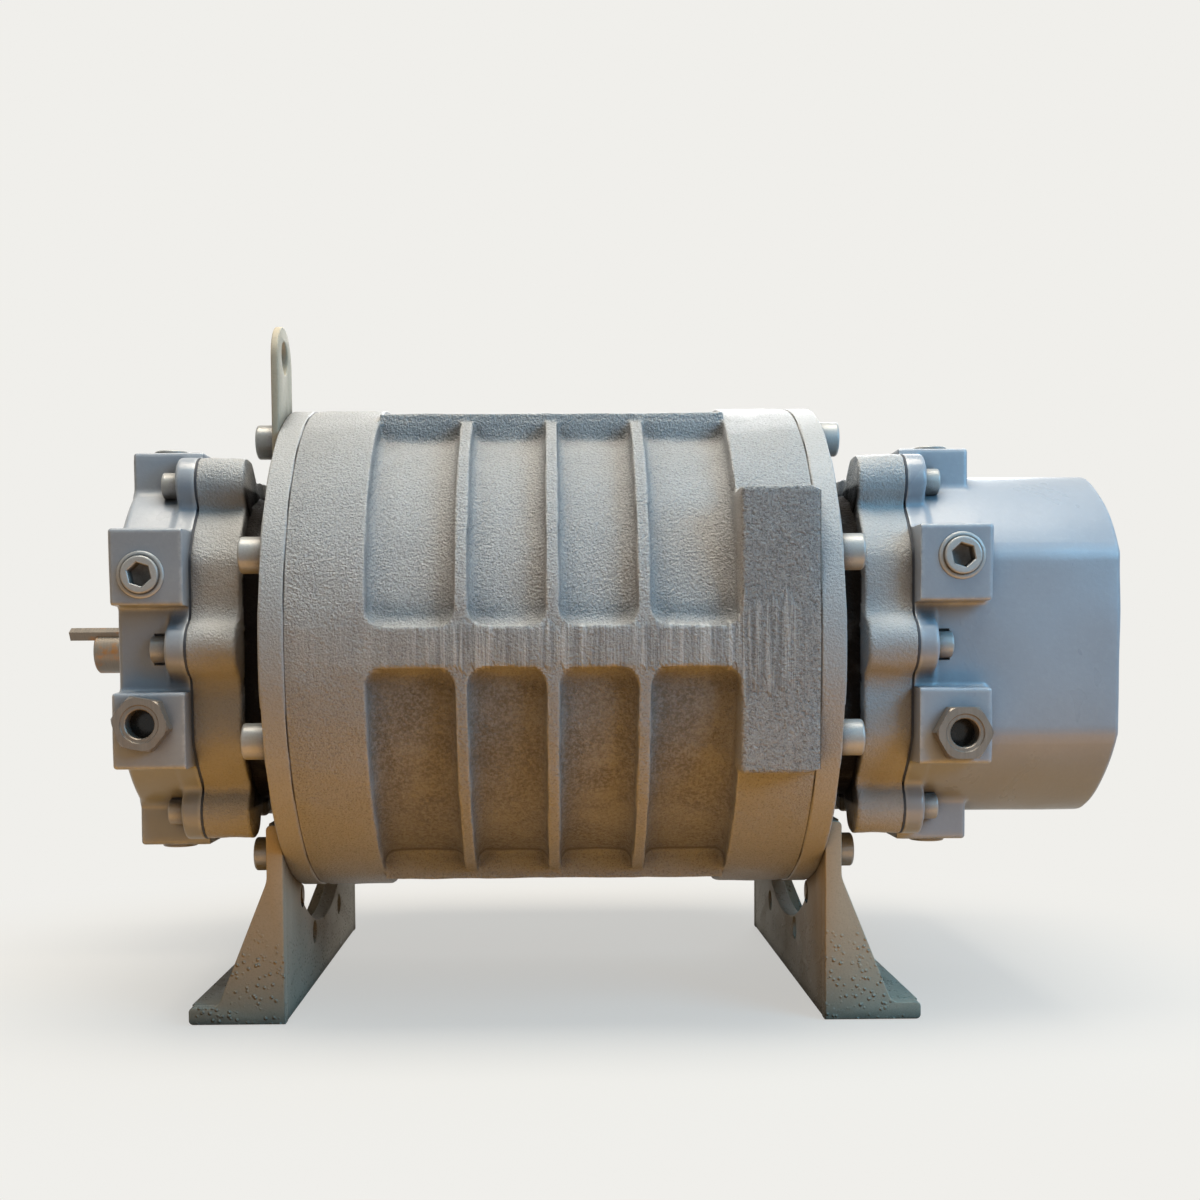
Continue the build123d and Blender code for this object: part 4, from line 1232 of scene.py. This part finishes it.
class Nodes:
    """Short way to write a material's node tree."""

    def __init__(self, name: str) -> None:
        """Starts a material with a Principled shader.

        Args:
            name: Name of the material.
        """
        self.material = bpy.data.materials.new(name)
        self.material.use_nodes = True
        self.tree = self.material.node_tree
        self.tree.nodes.clear()
        self.out, self.shader = self.add("OutputMaterial"), self.add("BsdfPrincipled")
        self.tree.links.new(self.shader.outputs[0], self.out.inputs["Surface"])
        self.place = self.add("TexCoord").outputs["Object"]

    def add(self, kind: str, **inputs: object) -> bpy.types.Node:
        """Adds a node.

        Args:
            kind: Its type, without the leading ShaderNode.
            inputs: Links or constants for its inputs, by name.

        Returns:
            The node.
        """
        node = self.tree.nodes.new("ShaderNode" + kind)
        for name, value in inputs.items():
            self.put(node.inputs[name], value)
        return node

    def put(self, target: Socket, value: object) -> None:
        """Links an output to an input, or writes a constant into it."""
        if isinstance(value, Socket):
            self.tree.links.new(value, target)
        elif isinstance(value, tuple) and len(value) == 3 and target.type == "RGBA":
            target.default_value = (*value, 1.0)
        else:
            target.default_value = value

    def stretched(self, scale: Tuple[float, float, float]) -> Socket:
        """Object coordinates, stretched along each axis."""
        return self.add("Mapping", Vector=self.place, Scale=scale).outputs[0]

    def noise(self, scale: float, detail: float = 3.0, rough: float = 0.55, at: Optional[Socket] = None,
              distortion: float = 0.0) -> Socket:
        """Noise value, the scale counted per metre."""
        return self.add("TexNoise", Vector=at or self.place, Scale=scale, Detail=detail, Roughness=rough,
                        Distortion=distortion).outputs[0]

    def cells(self, scale: float, smooth: float = 0.0) -> Socket:
        """Distance to the nearest of scattered points, the scale counted per metre."""
        node = self.add("TexVoronoi", Vector=self.place, Scale=scale)
        if smooth:
            node.feature = "SMOOTH_F1"
            self.put(node.inputs["Smoothness"], smooth)
        return node.outputs["Distance"]

    def ramp(self, value: object, low: float, high: float, first: float = 0.0, last: float = 1.0) -> Socket:
        """Smooth step of a value: first at the low level, last at the high one, which may lie below it."""
        node = self.add("MapRange")
        node.interpolation_type = "SMOOTHSTEP"
        for socket, given in zip(node.inputs, (value, low, high, first, last)):
            self.put(socket, given)
        return node.outputs[0]

    def math(self, kind: str, a: object, b: object = 0.0) -> Socket:
        """Arithmetic on two values."""
        node = self.add("Math")
        node.operation = kind
        self.put(node.inputs[0], a)
        self.put(node.inputs[1], b)
        return node.outputs[0]

    def times(self, first: object, *others: object) -> Socket:
        """Product of several values."""
        for other in others:
            first = self.math("MULTIPLY", first, other)
        return first

    def length(self, a: Socket, b: Socket) -> Socket:
        """Length of the long side over two short ones that are square to each other."""
        return self.math("SQRT", self.math("ADD", self.math("POWER", a, 2.0), self.math("POWER", b, 2.0)))

    def mix(self, share: object, a: object, b: object) -> Socket:
        """Mixes two colours."""
        node = self.add("Mix")
        node.data_type = "RGBA"
        for number, value in ((0, share), (6, a), (7, b)):
            self.put(node.inputs[number], value)
        return node.outputs[2]

    def layers(self, base: object, *coats: Tuple[object, object]) -> Socket:
        """Colour with further colours laid over it, each given as share and colour."""
        for share, colour in coats:
            base = self.mix(share, base, colour)
        return base

    def axis(self, letter: str) -> Socket:
        """One of the object coordinates in millimetres, Z from the rotor axes' level."""
        metres = self.add("SeparateXYZ", Vector=self.place).outputs["XYZ".index(letter)]
        return self.math("SUBTRACT", self.times(metres, METRE), AXIS_HEIGHT if letter == "Z" else 0.0)

    def off(self, letter: str) -> Socket:
        """How far one of the coordinates is from zero, on either side."""
        return self.math("ABSOLUTE", self.axis(letter))

    def crevice(self, distance: float) -> Socket:
        """How open a point is, from 0 in a crevice to 1 on an open face, seen up to a distance in metres."""
        node = self.add("AmbientOcclusion", Distance=distance)
        node.samples = 6
        return node.outputs["AO"]

    def edge(self, radius: float) -> Socket:
        """How sharply the surface bends within a radius in metres: 0 on a flat, up to 1 at an edge."""
        bevel = self.add("Bevel", Radius=radius)
        bevel.samples = 4
        dot = self.add("VectorMath")
        dot.operation = "DOT_PRODUCT"
        self.put(dot.inputs[0], bevel.outputs[0])
        self.put(dot.inputs[1], self.add("NewGeometry").outputs["Normal"])
        return self.math("SUBTRACT", 1.0, dot.outputs["Value"])

    def bump(self, height: object, distance: float, after: Optional[Socket] = None) -> Socket:
        """Bump of a height, the distance in metres for a height of one."""
        node = self.add("Bump", Height=height, Distance=distance, Strength=1.0)
        if after is not None:
            self.put(node.inputs["Normal"], after)
        return node.outputs[0]

    def finish(self, colour: object, roughness: object, normal: Socket, metallic: object = 0.0,
               gloss: object = 0.5) -> bpy.types.Material:
        """Fills the shader's sockets.

        Args:
            colour: Base colour.
            roughness: Roughness.
            normal: Normal from bumps.
            metallic: Metallic share.
            gloss: Specular level.

        Returns:
            The material.
        """
        values = {"Base Color": colour, "Roughness": roughness, "Metallic": metallic, "Normal": normal,
                  "Specular IOR Level": gloss}
        for name, value in values.items():
            self.put(self.shader.inputs[name], value)
        return self.material


@dataclass(frozen=True)
class SilverPaint:
    """Aluminium paint over a casting or over steel, scuffed and dirty, with painted shade in its crevices and painted
    glints on its edges.

    Grain is the sand-cast texture under the paint: bumps per metre and height in metres. Mottle
    is how much its crests and troughs change the colour, pores how dark its pits are. Reaches are
    metres. Chips is how much paint is gone near the floor.
    """

    name: str
    colour: Colour = (0.40, 0.405, 0.41)
    # Pale colour of scuffed paint, also laid on edges as painted glints.
    worn: Colour = (0.62, 0.62, 0.61)
    # Dark colour for soiling, also laid on closed-in places as painted shade.
    dirt: Colour = (0.060, 0.050, 0.042)
    grain_scale: float = 640.0
    grain_height: float = 0.0009
    pores: float = 0.45
    fine_height: float = 0.00012
    mottle: float = 0.3
    roughness: float = 0.36
    metallic: float = 0.0
    gloss: float = 0.42
    edge_reach: float = 0.0018
    smear: float = 0.3
    crevice_reach: float = 0.012
    crevice_open: Tuple[float, float] = (0.9, 0.4)
    # Share of the dark colour in closed-in places: soiling and painted shade together.
    crevice_dirt_and_shade: float = 0.75
    # Share of the pale colour on bent edges: real scuffing and painted highlight together.
    edge_wear_and_glint: float = 0.7
    chips: float = 0.0
    casing: bool = False
    # Whether the waist between disc and housing is painted near-black: oily film and painted shade.
    oily_shaded_gap: bool = False

    def shade(self, share: float) -> Colour:
        """The paint's colour made darker or lighter."""
        return tuple(min(1.0, c * share) for c in self.colour)

    def make(self) -> bpy.types.Material:
        """Builds the material.

        Returns:
            The material.
        """
        n = Nodes(self.name)
        lumps = n.noise(self.grain_scale, 4.0, 0.65, distortion=0.3)
        grain = n.math("ADD", lumps, n.times(n.cells(self.grain_scale * 1.3, 0.7), 0.35))
        smears = n.noise(24.0, 4.0, 0.6, at=n.stretched((1.0, 1.0, 0.4)), distortion=0.5)
        grime_and_shade = self._grime_and_shade(n)
        # Scuffed edges with painted highlight: pale colour laid where the surface bends sharply, broken up by noise.
        rubbed_and_glinting = n.times(n.ramp(n.edge(self.edge_reach), 0.015, 0.11), n.ramp(n.noise(160.0, 4.0, 0.7), 0.34, 0.6))
        specks = n.times(n.ramp(n.cells(210.0), 0.08, 0.03), n.ramp(n.noise(31.0, 2.0), 0.62, 0.67))
        base = n.layers(
            n.mix(n.ramp(n.noise(7.0, 4.0, 0.55), 0.35, 0.65), self.shade(0.93), self.shade(1.06)),
            (n.ramp(smears, 0.58, 0.78, 0.0, self.smear), self.shade(0.70)),
            (n.ramp(lumps, 0.5, 0.75, 0.0, self.mottle), self.worn),
            (n.ramp(lumps, 0.46, 0.28, 0.0, self.mottle), self.shade(0.5)),
            (n.ramp(n.noise(1050.0, 2.0, 0.5), 0.48, 0.34, 0.0, self.pores), self.shade(0.35)),
            (n.times(rubbed_and_glinting, self.edge_wear_and_glint), self.worn),
            # Painted shade with soiling: the dark colour laid where the surface is closed in.
            (n.times(grime_and_shade, self.crevice_dirt_and_shade), self.dirt),
            (n.times(specks, 0.6), self.dirt))
        gloss = self.gloss
        if self.oily_shaded_gap:
            # Painted shade with oily film: near-black on the recessed waist between disc and housing.
            film = self._gap_film_and_shade(n)
            base = n.mix(film, base, (0.010, 0.008, 0.007))
            gloss = n.ramp(film, 0.5, 1.0, self.gloss, 0.05)
        rough = n.ramp(smears, 0.3, 0.75, self.roughness - 0.04, self.roughness + 0.10)
        rough = n.math("ADD", rough, n.times(grime_and_shade, 0.25))
        normal = n.bump(grain, self.grain_height)
        if self.chips:
            base, normal = self._spattered(n, base, normal)
        if self.casing:
            seam = n.math("ABSOLUTE", n.math("SUBTRACT", n.off("X"), LAYOUT.chamber_end))
            base = n.layers(base, (n.ramp(seam, 0.7, 0.2, 0.0, 0.85), self.dirt),
                            # Painted shade with oily soiling on the lower pocket floors, below the belt.
                            (self._settled_dirt_and_shade(n), (0.105, 0.085, 0.06)))
            base, normal = self._pitted(n, base, normal, lumps, grain)
            base, normal = self._ground(n, base, normal)
        normal = n.bump(n.noise(self.grain_scale * 3.6, 2.0, 0.6), self.fine_height, normal)
        return n.finish(base, rough, normal, n.times(n.math("SUBTRACT", 1.0, grime_and_shade), self.metallic), gloss)

    def _grime_and_shade(self, n: Nodes) -> Socket:
        """Dirt that gathers where other surfaces are near, together with painted shade: darker wherever the surface
        is closed in, as in fillets, corners and sockets.
        """
        closed = n.ramp(n.crevice(self.crevice_reach), *self.crevice_open)
        return n.times(closed, n.ramp(n.noise(60.0, 4.0, 0.65), 0.25, 0.6, 0.55, 1.0))

    def _gap_film_and_shade(self, n: Nodes) -> Socket:
        """Black oily film with painted shade on the waist between the disc and the bearing housing, where no paint
        got and the recess lies in shade.
        """
        along = n.off("X")
        after_disc = n.ramp(along, LAYOUT.plate_face - 1.5, LAYOUT.plate_face + 0.2)
        before_housing = n.ramp(along, LAYOUT.housing_start + 1.7, LAYOUT.housing_start - 0.5)
        wide = n.ramp(n.off("Y"), Headplate.neck_half_width + 3.5, Headplate.neck_half_width + 0.5)
        high = n.ramp(n.off("Z"), Headplate.neck_half_height + 4.5, Headplate.neck_half_height + 1.5)
        film = n.ramp(n.noise(55.0, 4.0, 0.6), 0.2, 0.5, 0.85, 1.0)
        return n.times(after_disc, before_housing, film, wide, high)

    def _settled_dirt_and_shade(self, n: Nodes) -> Socket:
        """Oily soiling and painted shade on the floors of the pockets below the belt's overhang, thickest where they
        meet the port block.
        """
        aside, level = n.off("Y"), n.axis("Z")
        reach = n.length(n.math("MAXIMUM", n.math("SUBTRACT", aside, LAYOUT.case_half_spacing), 0.0), level)
        deep = n.times(n.ramp(reach, Casing.pocket_radius + 8.5, Casing.pocket_radius + 1.5),
                       n.ramp(level, -4.0, -22.0))
        patchy = n.times(n.ramp(n.noise(38.0, 4.0, 0.65), 0.30, 0.66, 0.25, 0.62),
                         n.ramp(n.noise(520.0, 3.0, 0.7), 0.36, 0.62, 0.45, 1.35))
        block = Casing.port_half_width
        corner = n.math("MAXIMUM", patchy, n.ramp(aside, block + 5.5, block + 2.5, 0.0, 0.85))
        return n.times(deep, corner, n.ramp(aside, block + 0.6, block + 2.0))

    def _pitted(self, n: Nodes, base: Socket, normal: Socket, lumps: Socket,
                grain: Socket) -> Tuple[Socket, Socket]:
        """Rougher grain on the cast pad, its pits dark and its crests bright."""
        on_pad = n.times(n.ramp(n.axis("Y"), -190.2, -191.5), n.ramp(n.axis("X"), 94.0, 96.5))
        normal = n.bump(n.times(grain, on_pad), 0.0005, normal)
        return n.layers(base, (n.times(on_pad, n.ramp(lumps, 0.47, 0.37, 0.0, 0.55)), self.shade(0.35)),
                        (n.times(on_pad, n.ramp(lumps, 0.54, 0.66, 0.0, 0.3)), self.worn)), normal

    def _spattered(self, n: Nodes, base: Socket, normal: Socket) -> Tuple[Socket, Socket]:
        """Rough spatter near the floor, with pale filler where the paint has come off."""
        height = n.math("ADD", n.axis("Z"), AXIS_HEIGHT)
        drops = n.times(n.ramp(n.cells(330.0), 0.42, 0.10), n.ramp(n.noise(70.0, 3.0, 0.6), 0.40, 0.55),
                        n.ramp(height, 62.0, 30.0))
        bare = n.times(n.ramp(n.noise(120.0, 5.0, 0.75), 0.61, 0.66), n.ramp(height, 30.0, 8.0),
                       n.ramp(n.noise(22.0, 3.0, 0.6), 0.45, 0.58), self.chips)
        base = n.layers(base, (n.ramp(drops, 0.45, 0.9, 0.0, 0.55), self.worn), (bare, (0.62, 0.61, 0.56)))
        return base, n.bump(drops, 0.0011, normal)

    def _ground(self, n: Nodes, base: Socket, normal: Socket) -> Tuple[Socket, Socket]:
        """Upright grinding marks on the front of the belt, longer on the pad, fainter on the left."""
        x = n.axis("X")
        ragged = n.noise(210.0, 2.0, 0.5, at=n.stretched((1.0, 0.2, 0.02)))
        reach = n.times(ragged, n.ramp(x, 90.0, 97.0, 22.0, 46.0))
        inside = n.ramp(n.math("SUBTRACT", reach, n.off("Z")), -1.5, 1.5)
        front = n.ramp(n.axis("Y"), -183.0, -189.0)
        across = n.times(n.ramp(x, -78.0, -52.0, 0.25, 1.0), n.ramp(x, 136.0, 118.0, 0.1, 1.0))
        where = n.times(inside, front, across)
        strokes = n.noise(360.0, 3.0, 0.65, at=n.stretched((1.0, 0.1, 0.035)))
        base = n.layers(base, (n.times(where, n.ramp(strokes, 0.51, 0.60), 0.75), self.worn),
                        (n.times(where, n.ramp(strokes, 0.47, 0.40), 0.5), self.shade(0.45)))
        return base, n.bump(n.times(strokes, where), 0.0013, normal)


@dataclass(frozen=True)
class BareMetal:
    """Steel, iron or gauge metal without paint, brushed round the X axis."""

    name: str
    colour: Colour
    roughness: float = 0.35
    metallic: float = 1.0
    stain: Colour = (0.16, 0.11, 0.07)
    stain_share: float = 0.25

    def make(self) -> bpy.types.Material:
        """Builds the material.

        Returns:
            The material.
        """
        n = Nodes(self.name)
        strokes = n.noise(900.0, 3.0, 0.6, at=n.stretched((1.0, 0.08, 0.08)))
        stains = n.ramp(n.noise(70.0, 4.0, 0.65), 0.5, 0.7, 0.0, self.stain_share)
        base = n.mix(n.ramp(strokes, 0.3, 0.7), tuple(c * 0.85 for c in self.colour), self.colour)
        rough = n.ramp(strokes, 0.3, 0.7, self.roughness - 0.05, self.roughness + 0.1)
        return n.finish(n.mix(stains, base, self.stain), rough, n.bump(strokes, 0.00006), self.metallic)


@dataclass(frozen=True)
class PlainStuff:
    """Gasket sheet or rubber, with a light grain."""

    name: str
    colour: Colour
    roughness: float = 0.7

    def make(self) -> bpy.types.Material:
        """Builds the material.

        Returns:
            The material.
        """
        n = Nodes(self.name)
        dust = n.noise(500.0, 3.0, 0.6)
        dusty = tuple(min(1.0, c * 2.0 + 0.03) for c in self.colour)
        rough = n.ramp(dust, 0.3, 0.8, self.roughness - 0.08, self.roughness + 0.1)
        return n.finish(n.mix(n.ramp(dust, 0.45, 0.75, 0.0, 0.5), self.colour, dusty), rough, n.bump(dust, 0.0001))


@dataclass(frozen=True)
class GaugeGlass:
    """Dirty glass with dark oil behind it."""

    name: str = "gauge_glass"

    def make(self) -> bpy.types.Material:
        """Builds the material.

        Returns:
            The material.
        """
        n = Nodes(self.name)
        film = n.noise(260.0, 3.0, 0.6)
        base = n.mix(n.ramp(film, 0.45, 0.75), (0.006, 0.006, 0.006), (0.045, 0.038, 0.034))
        return n.finish(base, n.ramp(film, 0.4, 0.8, 0.22, 0.42), n.bump(film, 0.0001), gloss=0.3)


# The crevice settings of these paints set soiling and painted shade in closed-in places.
CAST_PAINT = SilverPaint(
    "cast_paint", grain_height=0.0016, edge_reach=0.003, edge_wear_and_glint=0.85, crevice_reach=0.016, crevice_open=(0.94, 0.52),
    crevice_dirt_and_shade=0.9, casing=True)
HEADPLATE_PAINT = SilverPaint("headplate_paint", grain_height=0.0008, pores=0.18, mottle=0.14, oily_shaded_gap=True)
COVER_PAINT = SilverPaint(
    "cover_paint", colour=(0.295, 0.325, 0.37), worn=(0.62, 0.64, 0.66), edge_reach=0.0042, smear=0.05,
    grain_scale=300.0, grain_height=0.00008, fine_height=0.00003, pores=0.0, mottle=0.06, roughness=0.3, gloss=0.6)
SCREW_PAINT = SilverPaint(
    "screw_paint", colour=(0.37, 0.375, 0.37), metallic=0.15, roughness=0.32, gloss=0.6, crevice_reach=0.009,
    crevice_open=(0.92, 0.58), crevice_dirt_and_shade=0.95, grain_scale=600.0, grain_height=0.00010, fine_height=0.00004,
    pores=0.1, mottle=0.15, edge_wear_and_glint=0.4)
FOOT_PAINT = SilverPaint(
    "foot_paint", colour=(0.49, 0.43, 0.33), worn=(0.62, 0.58, 0.49), roughness=0.55, gloss=0.15, grain_scale=260.0,
    grain_height=0.00012, fine_height=0.00005, pores=0.15, mottle=0.12, chips=0.9)
GAUGE_METAL = BareMetal("gauge_metal", (0.21, 0.185, 0.16), 0.34, metallic=0.45, stain_share=0.5)
SHAFT_STEEL = BareMetal(
    "shaft_steel", (0.23, 0.20, 0.165), 0.4, metallic=0.6, stain=(0.34, 0.14, 0.02), stain_share=0.8)
MACHINED_IRON = BareMetal("machined_iron", (0.30, 0.30, 0.31), 0.42, stain_share=0.15)
GROUND_STEEL = BareMetal("ground_steel", (0.56, 0.55, 0.54), 0.28, stain_share=0.08)
GASKET_SHEET = PlainStuff("gasket_sheet", (0.028, 0.034, 0.045))
SEAL_RUBBER = PlainStuff("seal_rubber", (0.012, 0.012, 0.012), 0.6)


# Studio. Its places and sizes are metres.


@dataclass(frozen=True)
class Lamp:
    """Soft rectangular lamp: where it hangs, what it points at, its size, its watts and its colour."""

    name: str
    place: Tuple[float, float, float]
    aim: Tuple[float, float, float]
    size: Tuple[float, float]
    power: float
    colour: Colour

    def hang(self) -> None:
        """Adds the lamp to the scene."""
        data = bpy.data.lights.new(self.name, "AREA")
        data.shape, data.size, data.size_y = "RECTANGLE", *self.size
        data.energy, data.color = self.power, self.colour
        lamp = bpy.data.objects.new(self.name, data)
        lamp.visible_camera = False
        turn = facing(np.subtract(self.aim, self.place))
        lamp.matrix_world = placed(-turn[:, 1], turn[:, 2], -turn[:, 0], self.place)
        bpy.context.scene.collection.objects.link(lamp)


LAMPS = (
    Lamp("overhead", (0.0, -0.22, 1.75), (0.0, 0.0, 0.20), (1.2, 0.8), 38.5, (1.0, 0.88, 0.72)),
    Lamp("sky_front", (0.0, -0.80, 1.65), (0.0, 0.0, 0.20), (1.2, 0.8), 4.0, (0.42, 0.78, 1.0)),
    Lamp("sky_right", (0.72, -0.62, 0.56), (0.27, -0.15, 0.24), (0.5, 0.45), 5.0, (0.20, 0.62, 1.0)),
    Lamp("warm_low", (0.0, -0.34, 0.004), (0.0, -0.33, 0.30), (1.3, 0.28), 1.5, (1.0, 0.45, 0.04)),
    Lamp("back_fill", (0.3, 1.7, 1.2), (0.0, 0.0, 0.20), (1.2, 0.8), 14.0, (0.95, 0.97, 1.0)),
)


def placed(right: Array, up: Array, back: Array, place: Sequence[float]) -> Matrix:
    """World matrix of a camera or lamp.

    Args:
        right: Direction of its X axis.
        up: Direction of its Y axis.
        back: Direction of its Z axis, away from what it looks at.
        place: Where it is.

    Returns:
        The matrix.
    """
    matrix = np.eye(4)
    matrix[:3] = np.column_stack([right, up, back, place])
    return Matrix(matrix.tolist())


@dataclass(frozen=True)
class Studio:
    """Camera, lamps, floor and world. Angles are degrees."""

    eye: Tuple[float, float, float] = (0.0003, -0.8984, 0.2003)
    yaw: float = 0.501
    pitch: float = -2.817
    roll: float = -0.387
    lens: float = 42.0
    shift: Tuple[float, float] = (0.0281, 0.1054)
    backdrop: Colour = (0.871, 0.862, 0.831)
    sky: Colour = (0.07, 0.08, 0.085)
    floor_paint: Colour = (0.62, 0.62, 0.61)
    floor_bounce: Colour = (0.055, 0.036, 0.012)

    def camera(self) -> None:
        """Places the camera: yaw to the right, pitch upwards, then roll about the view."""
        yaw, pitch, roll = (math.radians(v) for v in (self.yaw, self.pitch, self.roll))
        ahead = np.array([math.sin(yaw) * math.cos(pitch), math.cos(yaw) * math.cos(pitch), math.sin(pitch)])
        right = np.array([math.cos(yaw), -math.sin(yaw), 0.0])
        up = np.cross(right, ahead)
        data = bpy.data.cameras.new("camera")
        data.lens, data.sensor_width = self.lens, 36.0
        data.shift_x, data.shift_y = self.shift
        data.clip_start, data.clip_end = 0.01, 50.0
        camera = bpy.data.objects.new("camera", data)
        camera.matrix_world = placed(math.cos(roll) * right + math.sin(roll) * up,
                                     math.cos(roll) * up - math.sin(roll) * right, -ahead, self.eye)
        bpy.context.scene.collection.objects.link(camera)
        bpy.context.scene.camera = camera

    def world(self) -> None:
        """Pale backdrop for what the camera and mirror-like surfaces see, weak sky light for the object."""
        world = bpy.data.worlds.new("world")
        bpy.context.scene.world = world
        world.use_nodes = True
        tree = world.node_tree
        tree.nodes.clear()
        mix, out = tree.nodes.new("ShaderNodeMixShader"), tree.nodes.new("ShaderNodeOutputWorld")
        tree.links.new(self.seen_rays(tree), mix.inputs[0])
        for number, colour in ((1, self.sky), (2, self.backdrop)):
            background = tree.nodes.new("ShaderNodeBackground")
            background.inputs[0].default_value = (*colour, 1.0)
            tree.links.new(background.outputs[0], mix.inputs[number])
        tree.links.new(mix.outputs[0], out.inputs[0])

    def seen_rays(self, tree: bpy.types.NodeTree) -> Socket:
        """One for camera, glossy and transmission rays, zero for light that falls on the object."""
        path = tree.nodes.new("ShaderNodeLightPath")
        total = path.outputs["Is Camera Ray"]
        for kind in ("Is Glossy Ray", "Is Transmission Ray"):
            either_one = tree.nodes.new("ShaderNodeMath")
            either_one.operation = "MAXIMUM"
            tree.links.new(total, either_one.inputs[0])
            tree.links.new(path.outputs[kind], either_one.inputs[1])
            total = either_one.outputs[0]
        return total

    def floor(self) -> None:
        """Pale floor that keeps the shadow near the object and runs into the backdrop further out.

        The light it throws back at the object is warm, as from the boards under the real one.
        """
        n = Nodes("floor")
        middle_y, near, far = 30.0, 150.0, 420.0
        away = n.length(n.times(n.axis("X"), 0.72), n.math("SUBTRACT", n.axis("Y"), middle_y))
        shown, ray = n.add("MixShader"), n.add("MixShader")
        n.put(shown.inputs[0], n.ramp(away, near, far, 0.60, 1.0))
        n.put(ray.inputs[0], self.seen_rays(n.tree))
        n.tree.links.new(n.add("BsdfDiffuse", Color=self.floor_paint).outputs[0], shown.inputs[1])
        n.tree.links.new(n.add("Emission", Color=self.backdrop).outputs[0], shown.inputs[2])
        n.tree.links.new(n.add("BsdfDiffuse", Color=self.floor_bounce).outputs[0], ray.inputs[1])
        n.tree.links.new(shown.outputs[0], ray.inputs[2])
        n.tree.links.new(ray.outputs[0], n.out.inputs["Surface"])
        n.tree.nodes.remove(n.shader)
        data = bpy.data.meshes.new("floor")
        corners = [(x, y, -0.0005) for x, y in ((-8, -3), (8, -3), (8, 14), (-8, 14))]
        data.from_pydata(corners, [], [(0, 1, 2, 3)])
        data.materials.append(n.material)
        floor = bpy.data.objects.new("floor", data)
        bpy.context.scene.collection.objects.link(floor)

    def build(self) -> None:
        """Sets the whole studio up."""
        self.camera()
        self.world()
        self.floor()
        for lamp in LAMPS:
            lamp.hang()
        bpy.context.scene.view_settings.view_transform = "Standard"


def dress_inside(shop: Workshop) -> None:
    """Gives the CAD nodes inside the machine and the flat sheets their finishes.

    Args:
        shop: Where pieces are dressed.
    """
    gasket, rubber, iron, steel, shaft = (
        finish.make() for finish in (GASKET_SHEET, SEAL_RUBBER, MACHINED_IRON, GROUND_STEEL, SHAFT_STEEL))
    for name in shop.nodes:
        if "gasket" in name:
            shop.dress(name, gasket)
        elif "seal" in name:
            shop.dress(name, rubber)
        elif name.endswith("_rotor"):
            shop.dress(name, iron)
        elif name.endswith("_shaft") or name == "coupling_key":
            shop.dress(name, shaft)
        elif name + "_skin" not in shop.made:
            shop.dress(name, steel)


def main() -> None:
    """Builds the blower, dresses it and sets the studio."""
    logging.basicConfig(level=logging.INFO, format="%(name)s: %(message)s")
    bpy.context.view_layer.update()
    shop = Workshop(frame["nodes"])
    cast, plate_paint, cover_paint, screw_paint, foot_paint = (
        paint.make() for paint in (CAST_PAINT, HEADPLATE_PAINT, COVER_PAINT, SCREW_PAINT, FOOT_PAINT))
    gauge_metal, glass = GAUGE_METAL.make(), GaugeGlass().make()
    Casing().build(shop, cast)
    for end, fitting_level in ((End.DRIVE, 38.5), (End.GEAR, 46.0)):
        Headplate(end).build(shop, plate_paint)
        Cover(end, plug_z=fitting_level).build(shop, cover_paint)
        Fasteners(end).build(shop, screw_paint)
        OilFittings(end, level_z=fitting_level).build(shop, screw_paint, gauge_metal, glass)
        Foot(end).build(shop, foot_paint)
    LiftingStrap().build(shop, foot_paint)
    dress_inside(shop)
    Studio().build()
    LOG.info("pieces made: %d", len(shop.made))


if __name__ == "__main__":
    main()
